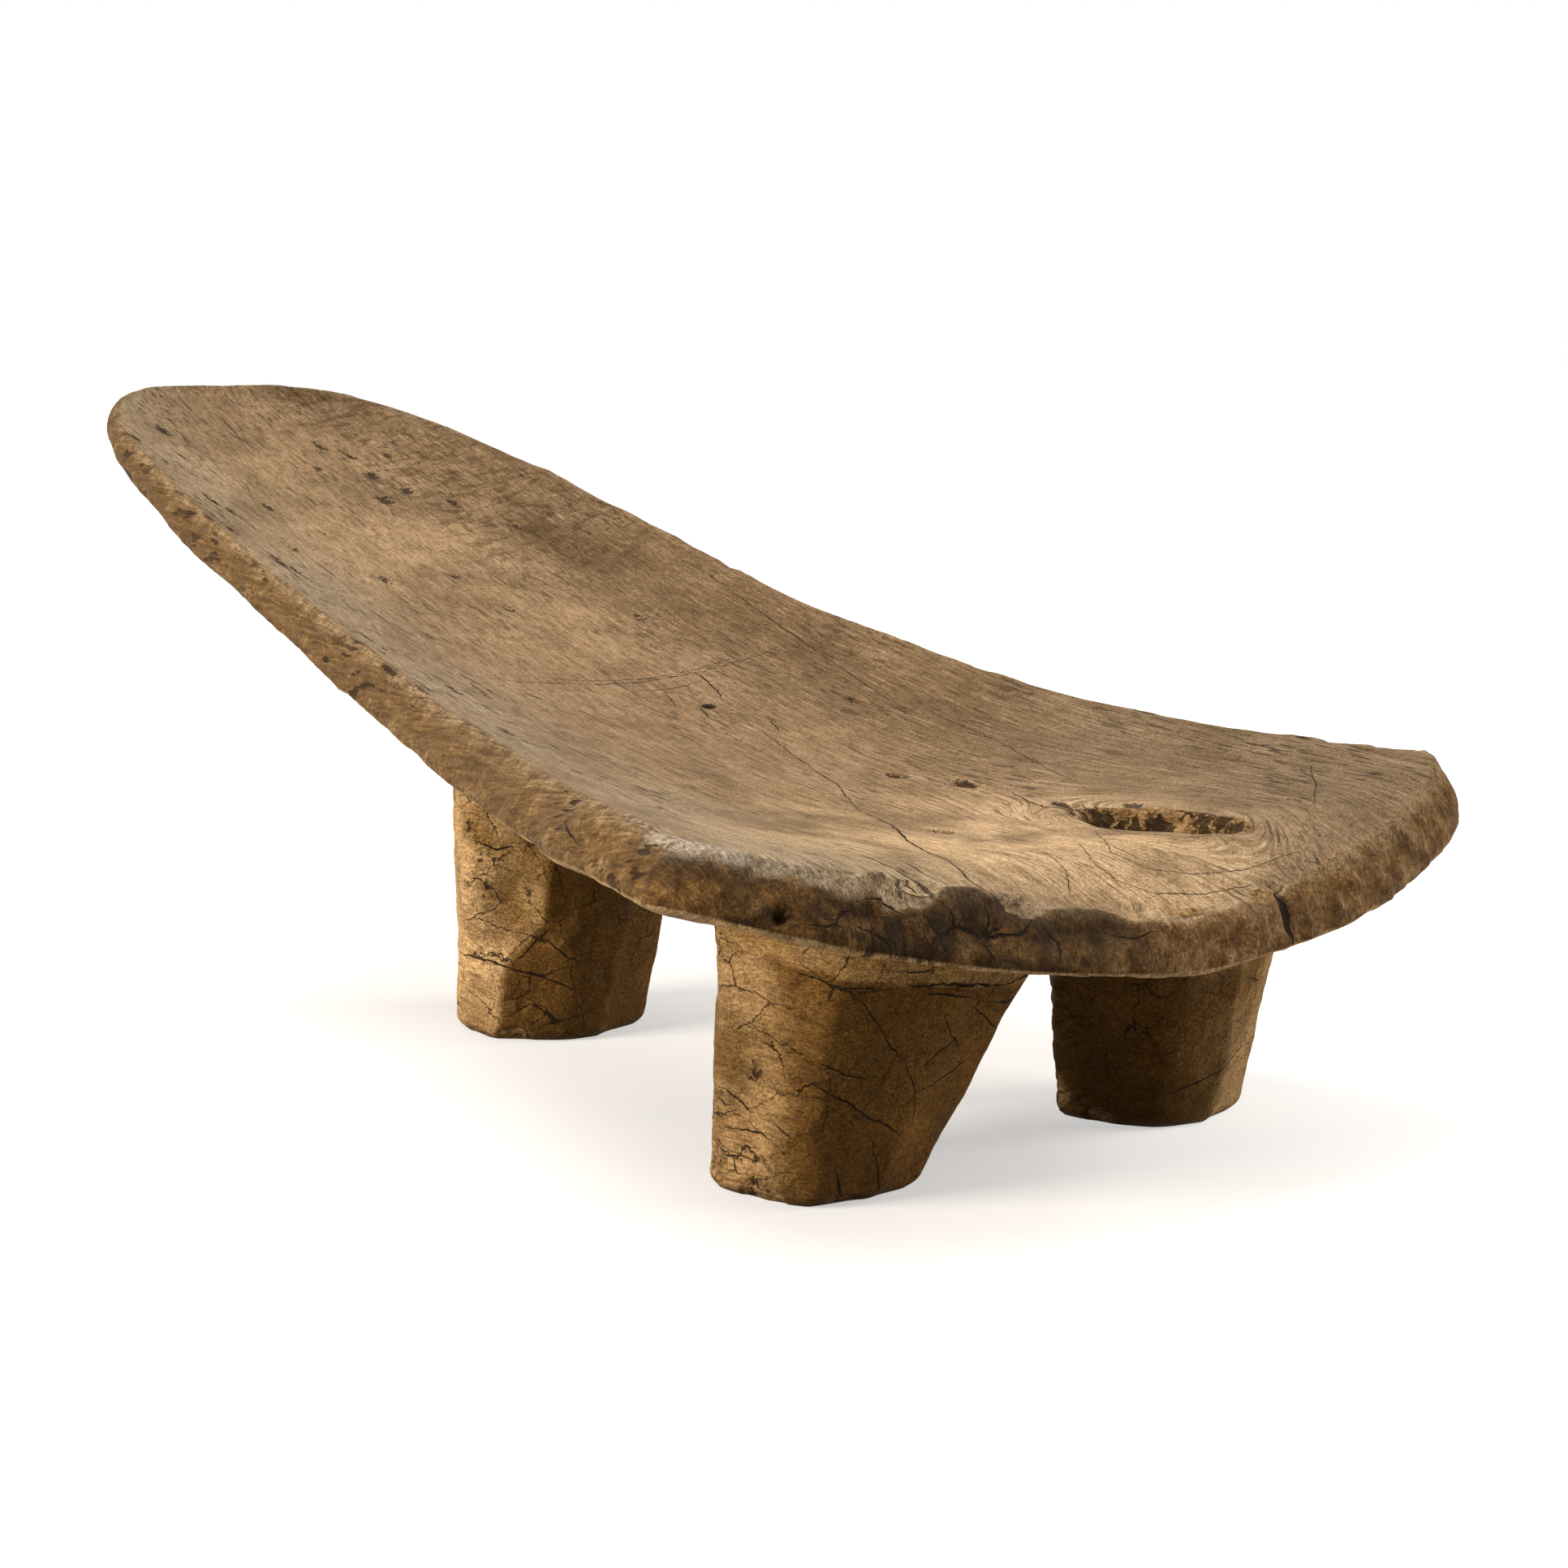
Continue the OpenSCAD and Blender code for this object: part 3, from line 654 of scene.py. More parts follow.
# Each leg is the source's taper, cut by flats. A flat is the angle that it faces and its distance as a share of the
# leg's own radius. Unless it runs all the way up, the heights at which it starts and ends follow, and last may come
# how much the share grows per metre of height
legPieces = {
    "leg_front_right": {
        "foot": (-139.0, 222.0), "footWidth": 145.0, "root": (-79.0, 214.0), "rootWidth": 248.0, "turn": 10.0,
        "flats": [
            (184, 0.925, -40, 75), (188, 0.94, 60, 400), (208, 0.985, 95, 150), (218, 0.975, -40, 26),
            (222, 1.045, 70, 400), (253, 0.94), (288, 0.955, -40, 120), (284, 0.965, 100, 400),
            (322, 0.965, -40, 140), (316, 0.97, 110, 400), (352, 0.96), (22, 0.96), (62, 0.965), (100, 0.96),
            (136, 0.965), (160, 0.975, -40, 130), (158, 0.96, 110, 400, 0.08),
        ],
        "flare": (268.0, 13.0, 34.0),   # where it faces, how far it spreads, and from how far below the seat
        # How much painted light the far right face gets, how strong the strip under the seat's edge is and how far
        # down it runs at the right and left, and how pale scraping and painted light make faces. Then the angle of the
        # ridge between pale faces and those with painted shade, its softness and its sway by height, and how dark the
        # painted shade is and at which angle it ends
        "rightPaintedLight": 0.0, "hull": (0.95, 38.0, 51.0), "scrapedAndLit": 0.50, "ridge": 214.0, "ridgeSoft": 16,
        "ridgeSway": [(0, 4), (90, 4), (150, -6), (200, -16)], "paintedShade": 0.28, "paintedShadeEnd": 282.0,
        "cuts": [
            (-196, -452, 18, 16, 20, 16, 0, 4.0), (-188, -500, 2, 20, 20, 13, 0, 5.0),
            (-150, -541, 0, 22, 16, 8, 0, 3.5), (-191, -484, 66, 9, 9, 7, 0, 2.2), (-62, -520, 2, 14, 14, 7, 0, 2.5),
            (-196, -430, 150, 26, 30, 46, 0, 3.0), (-178, -516, 84, 8, 8, 5, 0, 1.8),
            (-170, -528, 132, 9, 9, 6, 0, 1.8), (-160, -540, 60, 9, 9, 6, 0, 1.6),
        ],
        "cracks": [
            ([(-178, -532, 158), (-173, -547, 157), (-154, -564, 150), (-136, -577, 152)], 0.7),
            ([(-150, -560, 170), (-120, -585, 160), (-96, -596, 163)], 0.8),
            ([(-176, -546, 86), (-166, -553, 78), (-153, -556, 71), (-141, -555, 61), (-129, -556, 56),
            (-115, -554, 46)], 0.5),
            ([(-154, -570, 141), (-146, -571, 130), (-133, -570, 111), (-122, -568, 99)], 0.35),
            ([(-80, -569, 109), (-96, -571, 101), (-104, -568, 94)], 0.3),
            ([(-62, -555, 92), (-80, -560, 82), (-103, -563, 76)], 0.35),
            ([(-173, -550, 100), (-160, -557, 93), (-148, -562, 89)], 0.3),
            ([(-178, -541, 158), (-162, -568, 152), (-150, -576, 152)], 0.6),
            ([(-184, -501, 107), (-183, -513, 103), (-183, -518, 97)], 0.4),
            ([(-192, -467, 68), (-189, -481, 63), (-189, -490, 59)], 0.4),
            ([(-186, -517, 54), (-187, -531, 49), (-188, -537, 46)], 0.4),
            ([(-189, -448, 29), (-193, -468, 24), (-192, -486, 28), (-191, -497, 27)], 0.4),
            ([(-120, -572, 96), (-108, -566, 74), (-104, -560, 52)], 0.25),
            ([(-96, -578, 128), (-86, -572, 112), (-72, -566, 100)], 0.3),
            ([(-134, -556, 40), (-126, -548, 22), (-122, -542, 6)], 0.4),
            ([(-157, -543, 22), (-152, -540, 2)], 0.8),
            ([(-128, -583, 152), (-112, -586, 149), (-100, -587, 150)], 0.7),
            ([(-100, -586, 149), (-84, -587, 147), (-60, -582, 143)], 1.2),
            ([(-62, -583, 141), (-40, -575, 143), (-20, -567, 149)], 0.9),
            ([(-112, -586, 143), (-92, -588, 140), (-74, -586, 136)], 0.7),
            ([(-60, -582, 130), (-36, -573, 126), (-20, -566, 132)], 0.7),
            ([(-196, -470, 44), (-190, -500, 47), (-176, -520, 40)], 0.5),
            ([(-70, -575, 130), (-40, -560, 110), (-28, -545, 96)], 0.35),
            ([(-186, -506, 110), (-178, -516, 100), (-176, -520, 88)], 0.4),
        ],
        "pits": [(-190, -496, 14, 3, 5), (-193, -496, 56, 2, 3), (-188, -494, 86, 2, 4), (-176, -522, 102, 2, 4),
                 (-162, -545, 112, 3, 3)],
        "ragged": 0.5,
    },
    "leg_front_left": {
        "foot": (177.0, 252.0), "footWidth": 138.0, "root": (171.0, 226.0), "rootWidth": 197.0, "turn": 25.0,
        "flats": [
            (150, 0.95, -40, 110), (158, 0.97, 90, 400), (192, 0.96), (226, 0.965, -40, 140), (232, 0.96, 120, 400),
            (250, 0.955), (270, 1.035, -40, 60), (300, 0.94), (330, 0.97, -40, 90), (336, 0.965, 80, 400), (8, 0.96),
            (48, 0.96), (88, 0.965), (120, 0.975),
        ],
        "flare": (320.0, 9.0, 30.0),
        "rightPaintedLight": 1.0, "hull": (0.3, 30.0, 30.0), "scrapedAndLit": 0.75, "ridge": 120.0, "ridgeSoft": 5,
        "ridgeSway": [(0, 0), (200, 0)], "paintedShade": 0.72, "paintedShadeEnd": 256.0,
        "cuts": [
            (118, -432, 20, 14, 16, 18, 0, 3.0), (128, -470, 4, 16, 16, 10, 0, 3.0),
            (112, -436, 96, 10, 12, 10, 0, 3.0), (108, -430, 134, 10, 12, 9, 0, 3.5),
            (110, -430, 166, 9, 12, 8, 0, 3.0), (116, -436, 62, 9, 12, 7, 0, 2.5),
        ],
        "cracks": [
            ([(154, -511, 29), (172, -517, 33), (193, -518, 41), (222, -510, 52)], 0.5),
            ([(130, -480, 120), (150, -500, 116), (176, -512, 122)], 0.4),
            ([(205, -528, 110), (222, -520, 104), (240, -505, 106)], 0.4),
        ],
        "pits": [(122, -470, 110, 3, 4), (130, -486, 70, 3, 4), (140, -496, 100, 2, 4)],
        "ragged": 1.7,
    },
    "leg_rear": {
        "foot": (-39.0, 737.0), "footWidth": 150.0, "root": (-19.0, 725.0), "rootWidth": 199.0, "turn": 40.0,
        "flats": [
            (176, 0.94, -40, 80), (238, 0.945, -40, 72), (206, 1.03, -40, 60), (203, 0.945, 78, 190),
            (172, 0.975, 60, 400), (262, 0.945, 76, 400), (196, 0.95, 170, 400), (258, 0.97, -40, 80), (299, 0.94),
            (278, 1.03, 140, 400), (336, 0.96), (12, 0.965), (52, 0.96), (92, 0.96), (134, 0.965),
        ],
        "flare": (330.0, 5.0, 26.0),
        "rightPaintedLight": 0.0, "hull": (0.2, 24.0, 24.0), "scrapedAndLit": 0.82, "ridge": 224.0, "ridgeSoft": 4,
        "ridgeSway": [(0, -17), (50, -14), (95, 12), (140, 14), (180, 4), (280, 8)], "paintedShade": 0.45, "paintedShadeEnd": 400.0,
        "cuts": [
            (-92, -8, 0, 20, 20, 13, 0, 4.0), (-82, -20, 28, 14, 14, 15, 0, 2.2), (-100, 30, 2, 16, 18, 9, 0, 3.0),
            (-76, -24, 84, 20, 9, 11, -38, 4.5), (-66, -34, 104, 16, 9, 12, -38, 3.0),
            (-92, -6, 124, 13, 13, 16, 0, 2.0), (-102, 8, 150, 9, 12, 6, 0, 2.4), (-98, 4, 120, 10, 10, 5, 0, 2.2),
        ],
        "cracks": [
            ([(-101, 62, 61), (-98, 30, 64), (-96, 7, 62), (-86, -10, 58), (-76, -20, 55), (-45, -36, 41)], 0.8),
            ([(-70, -30, 91), (-78, -22, 79), (-88, -12, 66)], 0.9),
            ([(-62, -38, 120), (-66, -34, 140), (-80, -22, 160)], 0.4),
            ([(-90, -6, 22), (-80, -18, 30), (-70, -26, 24)], 0.4),
            ([(-106, 20, 158), (-98, 4, 152), (-88, -8, 156)], 0.7),
        ],
        "pits": [(-106, 14, 156, 2, 4), (-103, 8, 148, 2, 5), (-97, 1, 143, 2, 3), (-101, 10, 121, 3, 5),
                 (-99, 4, 116, 2, 4),
                 (-83, -21, 121, 2, 3), (-108, 28, 168, 2, 4), (-100, 2, 168, 2, 3)],
        "ragged": 0.7,
    },
}
legMesh = {
    "columns": 280, "rows": 128,
    "bevel": 9.0, "inset": 6.3,     # height of the worn edge round the sole, and how far it draws in
    "flare": 1.1, "unevenness": 0.035,
    "ridge": 1.3, "slope": 0.30,    # softness of the ridges between flats, and how fast a flat runs out past its end
    "sunk": 1.6,                    # how far a leg reaches into the seat
    "waves": 0.9, "grit": 0.45, "scoops": 1.5, "sway": 0.07,
    "capShares": (0.85, 0.6, 0.3), "soleShares": (0.3, 0.65, 0.9),
    "wholeHeight": [-40, 400, 0.0],  # start, end and growth of a flat that gives none
}


def legRadius(angle, height, base, flats):
    # Distance to the nearest flat, share * base / cos(angle between), blended by a soft minimum where two meet
    total = np.zeros_like(angle)
    for facing, share, *rest in flats:
        start, end, growth = rest + legMesh["wholeHeight"][len(rest):]
        turned = np.cos(angle - math.radians(facing))
        outside = np.clip(start - height, 0, None) + np.clip(height - end, 0, None)
        reach = base * (share + growth * height * 0.001) + legMesh["slope"] * outside
        distance = np.where(turned > 0.35, reach / np.maximum(turned, 0.35), 1e3)
        total += np.exp(-np.minimum(distance - base * 0.7, 400) / legMesh["ridge"])
    return base * 0.7 - legMesh["ridge"] * np.log(total)


def legTones(points, height, leg):
    # How dark and how pale the leg is. Dark is blotchy handling dirt, darker within 30 mm of the floor, and painted
    # shade on the faces to the right of the ridge. Pale is scraping and painted light on those to its left, and on
    # some legs painted light on the far right faces. Gives both
    foot = leg["foot"]
    facing = np.degrees(np.arctan2(points[..., 1] - foot[1], points[..., 0] - foot[0])) % 360
    sway = np.interp(height, *zip(*leg["ridgeSway"])) + 4 * smoothNoise(points, 26.0, 8.3)
    ridge, soft, end = leg["ridge"] + sway, leg["ridgeSoft"], leg["paintedShadeEnd"]
    # Pale from scraping and painted light on the faces left of the ridge, and painted light on the far right faces
    pale = smoothStep(ridge + soft, ridge - soft, facing) * smoothStep(95, 150, facing)
    pale = np.maximum(pale, leg["rightPaintedLight"] * smoothStep(254, 264, facing + 5 * smoothNoise(points, 30.0, 1.3)))
    dark = smoothStep(30, 0, height) * 0.35 + 0.45 * smoothStep(0.0, 0.7, layeredNoise(points, 60.0, 1.9, 3))
    lower = 0.6 + 0.6 * smoothStep(170, 10, height)
    # Painted contact shadow makes a dark line round the sole's edge, and painted shade covers the faces right of the
    # ridge, most of all low down
    dark = dark * (1 - 0.6 * pale) + smoothStep(7, 1, height) * 0.8
    dark = dark + leg["paintedShade"] * lower * (1 - pale) * smoothStep(end + 7, end - 7, facing)
    return dark, pale


def makeLeg(name, leg):
    angle = np.linspace(0, 2 * np.pi, legMesh["columns"], endpoint=False)[None]
    turn, degrees = leg["turn"], np.degrees(angle)
    uneven = np.sin(np.radians(2 * degrees + turn)) + np.sin(np.radians(5 * degrees - 2 * turn))
    uneven = 1 + legMesh["unevenness"] * uneven
    foot, root = np.array(leg["foot"]), np.array(leg["root"])
    rootR = leg["rootWidth"] / 2 * uneven
    topZ = underHeight(root[0] + rootR * np.cos(angle), root[1] + rootR * np.sin(angle)) + legMesh["sunk"]
    # Shares of the height at which the leg is cut: even rows, with closer ones in the bevel at the sole
    bevel, fullHeight = legMesh["bevel"], 230
    rows = np.linspace(bevel / fullHeight, 1, legMesh["rows"])[1:]
    t = np.concatenate([[0], np.linspace(bevel * 0.35, bevel, 4) / fullHeight, rows])[:, None]
    z = t * topZ
    base = (leg["footWidth"] / 2 + (leg["rootWidth"] - leg["footWidth"]) / 2 * t ** legMesh["flare"]) * uneven
    around = np.stack([base * np.cos(angle), base * np.sin(angle), z], axis=-1)
    radius = legRadius(angle + legMesh["sway"] * smoothNoise(around, 45.0, 3.7 + turn), z, base, leg["flats"])
    # The flare spreads below the seat on one side: its rise squared, times a half cosine of the angle
    facing, spread, drop = leg["flare"]
    oneSide = np.clip(0.5 + 0.5 * np.cos(angle - math.radians(facing)), 0, 1) ** 1.5
    flared = spread * np.clip(1 - (topZ - z) / drop, 0, 1) ** 2 * oneSide
    radius = radius + flared - legMesh["inset"] * np.clip(1 - z / bevel, 0, 1) ** 2
    centre = foot + (root - foot) * t[..., None]
    points = np.stack([centre[..., 0] + radius * np.cos(angle), centre[..., 1] + radius * np.sin(angle), z], axis=-1)
    outward = asField(np.cos(angle), np.sin(angle), 0 * z)
    normals = gridNormals(points)
    normals = normals * np.sign((normals * outward).sum(-1))[..., None]
    part = toPart(points)

    steady = smoothStep(1.0, 0.90, t) * smoothStep(0.0, 14.0, z)  # no relief where the leg meets seat and floor
    # Low ridges between adze scoops: 0.5 - |noise| is sharp at the top and round at the bottom
    adzed = 0.5 - np.abs(smoothNoise(points, (34, 34, 44), 2.3 + turn))
    move = layeredNoise(points, (70, 70, 90), 4.1, 2) * legMesh["waves"]
    move = move + layeredNoise(points, 10.0, 6.6, 2) * legMesh["grit"] + adzed * legMesh["scoops"]
    # The side that faces the head end and right is splintered
    splintered = smoothStep(0.2, 0.9, np.cos(angle - math.radians(150)))
    move = move + leg["ragged"] * splintered * layeredNoise(points, (30, 30, 13), 9.9, 3)
    points = points + normals * ((move * steady - scoops(part, leg["cuts"]))[..., None])
    points[..., 2] = np.maximum(points[..., 2], 0.0)
    points[0, :, 2] = 0.0
    # Cap rings lie just inside the seat, following its underside, and sole rings lie on the floor
    caps, soles = [], []
    for share in legMesh["capShares"]:
        flat = root + (points[-1, :, :2] - root) * share
        caps.append(np.column_stack([flat, underHeight(flat[:, 0], flat[:, 1]) + legMesh["sunk"]]))
    for share in legMesh["soleShares"]:
        flat = foot + (points[0, :, :2] - foot) * share
        soles.append(np.column_stack([flat, 0 * flat[:, 0]]))
    points = np.concatenate([np.array(soles), points, np.array(caps)])
    down, up = normals[:1] * 0 + [0, 0, -1.0], normals[:1] * 0 + [0, 0, 1.0]
    normals = np.concatenate([down] * len(soles) + [normals] + [up] * len(caps))

    part = toPart(points)
    signed, wide = crackFields(part, normals, leg["cracks"])
    points -= normals * crackDepth(signed, wide, 0.6, 1.5, 4.0)[..., None]
    pits = pitFields(part, leg["pits"])
    points -= normals * (1.8 * smoothStep(1.5, -2.5, pits))[..., None]
    points[:len(soles), :, 2] = 0.0
    height = points[..., 2]
    dark, pale = legTones(points, height, leg)
    chipped = smoothStep(1.0, 3.0, scoops(part, leg["cuts"])) * smoothStep(60, 20, height)
    # The scraped strip under the seat's edge runs a little way down the leg, more or less far across the leg's width
    strength, rightDrop, leftDrop = leg["hull"]
    drop = rightDrop + (leftDrop - rightDrop) * np.clip((part[..., 0] + 192) / 172, 0, 1)
    top = underHeight(points[..., 0], points[..., 1])
    nearSeat = strength * smoothStep(-3, 3, height - top + drop + 4 * smoothNoise(points, (16, 16, 9), 6.1))
    fields = {
        "grainAt": grainPlace(points),
        "marks": asField(signed, wide, pits),
        "places": asField(0, 0, chipped * 0.5),
        # The stain share carries blotchy dirt and painted shade, and the pale share scraping and painted light
        "tones": np.clip(asField(0, dark * 0.85, pale * leg["scrapedAndLit"]), 0, 0.9),
        "more": asField(nearSeat, 0, 0),
        "extras": np.zeros_like(points),
    }
    piece = ringMesh(name + "_dressed", toPart(points), fields, [(0, True), (len(points) - 1, False)])
    mergeAndTurn(piece, 0.00001)
    return piece


legs = {name: makeLeg(name, leg) for name, leg in legPieces.items()}
print("legs shaped:", {name: len(piece.data.polygons) for name, piece in legs.items()})


# Every node comes from here: its kind, a value or a link for each socket, its ramp's stops and its other settings
def addNode(tree, kind, sockets=None, out=0, stops=None, **settings):
    node = tree.nodes.new("ShaderNode" + kind)
    for key, value in settings.items():
        setattr(node, key, value)
    for k, (at, colour) in enumerate(stops or []):
        stop = node.color_ramp.elements[k] if k < 2 else node.color_ramp.elements.new(at)
        stop.position, stop.color = at, linearColour(colour)
    for key, value in (sockets or {}).items():
        if isinstance(value, bpy.types.NodeSocket):
            tree.links.new(value, node.inputs[key])
        else:
            node.inputs[key].default_value = linearColour(value) if isinstance(value, str) else value
    return node.outputs[out] if node.outputs else node


# The palettes. The seat is hand-worn, greyer and drier than the legs, which keep their brown adze-cut skin. Colours
# first, then how much of each mark there is at most. wornThrough is the noise above which skin is worn away, and lift
# scales the grain's height so that its lines stay long on slopes
woodLooks = {
    "worn_carved_hardwood": {
        "ground": [(0.36, "#92785e"), (0.46, "#9d8367"), (0.55, "#a88e72"), (0.66, "#b39b81")],
        "skin": [(0.36, "#523818"), (0.46, "#72522b"), (0.54, "#896638"), (0.66, "#a07c4b")],
        "fibre": "#5f4529", "grey": "#bcae99", "cloud": "#75654c", "stainAndShade": "#4e3b1e", "grease": "#1e1203",
        # The last colour on the next line, a silvery grey, is a painted highlight for the seat's crest
        "weathered": "#67533a", "pale": "#efd1a9", "worn": "#9b8568", "runs": "#4b3820", "paintedGlintColour": "#c4bfb9",
        "hull": "#d0ac76", "clouded": 0.34, "streaked": 0.09, "scratched": 0.13, "wornThrough": 0.58, "dashed": 1.0,
        "checked": 0.14, "lift": 0.33, "roughness": 0.72,
    },
    "adze_cut_hardwood": {
        "ground": [(0.36, "#664a1e"), (0.46, "#775629"), (0.54, "#876333"), (0.66, "#9b763f")],
        "skin": [(0.36, "#3c2608"), (0.46, "#634319"), (0.54, "#86602c"), (0.66, "#a0783c")],
        # On the next line the stain colour also serves as painted shade on the legs' darker faces
        "fibre": "#4b3210", "grey": "#857756", "cloud": "#53401d", "stainAndShade": "#45300c", "grease": "#2b1d0c",
        # On the next line the pale colour also serves as painted light on the legs' lit faces
        "weathered": "#6f5a3c", "pale": "#dfbd8c", "worn": "#ac8c62", "runs": "#46331c", "paintedGlintColour": "#a8a095",
        "hull": "#c39d63", "clouded": 0.35, "streaked": 0.14, "scratched": 0.0, "wornThrough": 0.54, "dashed": 0.6,
        "checked": 0.90, "lift": 1.0, "roughness": 0.76,
    },
}


def carvedHardwood(name, look):
    # Old carved hardwood: matt, with fibres along the log, grey weathering, dark hand grease and small torn pits
    material = bpy.data.materials.new(name)
    material.use_nodes = True
    material.node_tree.nodes.clear()
    add = partial(addNode, material.node_tree)
    place = add("TexCoord", out="Object")
    grain = add("VectorMath", {0: add("Attribute", out="Vector", attribute_name="grainAt"), 1: (1, 1, look["lift"])},
                operation="MULTIPLY")
    fields = {key: add("SeparateXYZ", {0: add("Attribute", out="Vector", attribute_name=key)}).node.outputs
              for key in ("marks", "places", "tones", "more", "extras")}
    signed, crackWidth, pitGap = fields["marks"]
    onEdge, onCrest, torn = fields["places"]
    grey, stainAndShade, pale = fields["tones"]
    onHull, dimpled, lowEdge = fields["more"]
    paintedGlint, ringed, weathered = fields["extras"]
    eased = {"interpolation_type": "SMOOTHSTEP"}

    noises = {
        # What each reads, its lumps per metre in x, y and z, detail, roughness, distortion and shift
        "broad": (place, (7, 7, 7), 2, 0.5, 0, (0, 0, 0)),                # handling and weather, 140 mm wide
        "clouds": (place, (13, 8, 13), 3, 0.55, 0.3, (1, 5, 2)),           # soft olive patches, 77 by 125 mm
        "middle": (place, (25, 19, 25), 6, 0.64, 0.5, (0, 0, 0)),          # blotches 40 by 53 mm
        "patches": (place, (62, 62, 62), 9, 0.74, 0.2, (3, 1, 7)),         # skin worn through in spots under 20 mm
        "runs": (place, (150, 150, 24), 4, 0.66, 0, (2, 2, 5)),            # runs of dirt down the edge face
        "wear": (place, (75, 75, 75), 7, 0.72, 0, (2, 0, 1)),              # rubbing in spots 13 mm wide
        "dabs": (place, (42, 96, 60), 3, 0.6, 0.4, (0, 0, 0)),             # tool dabs 24 mm across and 10 mm along
        "speckle": (place, (170, 170, 170), 4, 0.72, 0, (0, 0, 0)),        # coarse grit, 6 mm wide
        "grit": (place, (560, 560, 560), 2, 0.7, 0, (0, 0, 0)),            # fine grit, 2 mm wide
        "fibres": (grain, (430, 15, 430), 4, 0.68, 0, (0, 0, 0)),          # 2 mm wide, coarser than real so they show
        "hairs": (grain, (820, 26, 820), 3, 0.6, 0, (5, 1, 2)),            # half as wide as the fibres
        "streaks": (grain, (88, 3.6, 88), 5, 0.62, 0.5, (3.1, 0.4, 0)),    # 11 mm wide
        "scratches": (grain, (260, 3.0, 260), 1, 0.5, 0, (7, 3, 1)),       # 4 mm wide, 330 mm long
        "tornFibres": (place, (170, 80, 240), 6, 0.75, 0.8, (0, 0, 0)),    # 4 to 12 mm, crushed and tangled
        "dashes": (grain, (250, 34, 250), 2, 0.5, 0, (9, 2, 0)),           # 4 by 30 mm
        "dashPlaces": (place, (11, 11, 11), 2, 0.5, 0, (2.2, 1.1, 0)),     # where dashes and year lines show
        "checkPlaces": (place, (17, 17, 17), 3, 0.5, 0, (4, 4, 4)),        # where hairline checks show
        "wobble": (place, (110, 110, 110), 4, 0.65, 0, (0, 0, 0)),         # bends the cracks
        "gapes": (place, (45, 45, 45), 3, 0.5, 0, (6, 1, 3)),              # opens and closes the cracks
    }
    noise = {}
    for key, (vector, lumps, detail, roughness, bend, shift) in noises.items():
        mapped = add("Mapping", {"Vector": vector, "Location": shift, "Scale": lumps})
        noise[key] = add("TexNoise", {"Vector": mapped, "Scale": 1.0, "Detail": detail, "Roughness": roughness,
                                      "Distortion": bend})
    # Year lines about 6 mm apart that run with the grain, wander by a line or so and come and go
    drawnOut = add("Mapping", {"Vector": grain, "Scale": (1, 0.1, 1)})
    rings = add("TexWave", {"Vector": drawnOut, "Scale": 52.0, "Distortion": 7.0, "Detail": 3.0, "Detail Scale": 0.4,
                            "Detail Roughness": 0.6},
                "Fac", wave_type="BANDS", bands_direction="X", wave_profile="SAW")
    ringMost = add("MapRange", {0: noise["dashPlaces"], 1: 0.38, 2: 0.56, 4: ringed}, **eased)
    mixed = add("Mix", {0: 0.65, 2: noise["broad"], 3: noise["middle"]})
    # Skin wears through where the noise is high, sooner on the crest and the lower edge and later under grease
    skinWear = noise["patches"]
    for share, where in ((0.11, onCrest), (0.08, lowEdge), (-0.07, stainAndShade)):
        skinWear = add("Math", {0: where, 1: share, 2: skinWear}, operation="MULTIPLY_ADD")

    # Layers of colour over each ground: what decides, where it starts, where it is full, how much at most, colour
    wornFrom = look["wornThrough"]
    grounds = {
        "dish": (mixed, look["ground"], [
            # On the legs the pale layer paints scraping and painted light, and the stain layer dirt and painted shade
            (noise["clouds"], 0.70, 0.40, pale, look["pale"]),
            (noise["middle"], 0.20, 0.55, grey, look["grey"]),
            (noise["clouds"], 0.42, 0.66, look["clouded"], look["cloud"]),
            (noise["clouds"], 0.95, 0.15, stainAndShade, look["stainAndShade"]),
            (noise["streaks"], 0.47, 0.62, look["streaked"], look["fibre"]),
            (noise["streaks"], 0.46, 0.34, look["streaked"] * 0.4, look["pale"]),
            (rings, 0.84, 0.97, ringMost, look["fibre"]),
            (noise["dabs"], 0.50, 0.60, dimpled, look["stainAndShade"]),
            (noise["scratches"], 0.62, 0.68, look["scratched"], look["pale"]),
            (noise["scratches"], 0.37, 0.31, look["scratched"], look["fibre"]),
        ]),
        "edge": (noise["patches"], look["skin"], [
            (noise["runs"], 0.48, 0.64, 0.28, look["runs"]),
            (skinWear, wornFrom, wornFrom + 0.03, 0.60, look["worn"]),
            (noise["patches"], 0.38, 0.62, pale, look["worn"]),
            (noise["middle"], 0.70, 0.40, stainAndShade, look["grease"]),
            (noise["patches"], 0.72, 0.50, weathered, look["weathered"]),
            (noise["speckle"], 0.60, 0.66, 0.30, look["worn"]),
        ]),
        "hull": (noise["middle"], [(0.35, look["hull"]), (0.65, look["worn"])], [
            (noise["streaks"], 0.48, 0.64, 0.30, look["stainAndShade"]),
            (noise["tornFibres"], 0.55, 0.64, 0.40, look["stainAndShade"]),
        ]),
    }
    made = {}
    for key, (value, stops, layers) in grounds.items():
        made[key] = add("ValToRGB", {0: value}, stops=stops)
        for decides, start, full, most, over in layers:
            share = add("MapRange", {0: decides, 1: start, 2: full, 4: most}, **eased)
            made[key] = add("Mix", {0: share, 6: made[key], 7: over}, 2, data_type="RGBA")
    colour = add("Mix", {0: onEdge, 6: made["dish"], 7: made["edge"]}, 2, data_type="RGBA")
    colour = add("Mix", {0: onHull, 6: colour, 7: made["hull"]}, 2, data_type="RGBA")
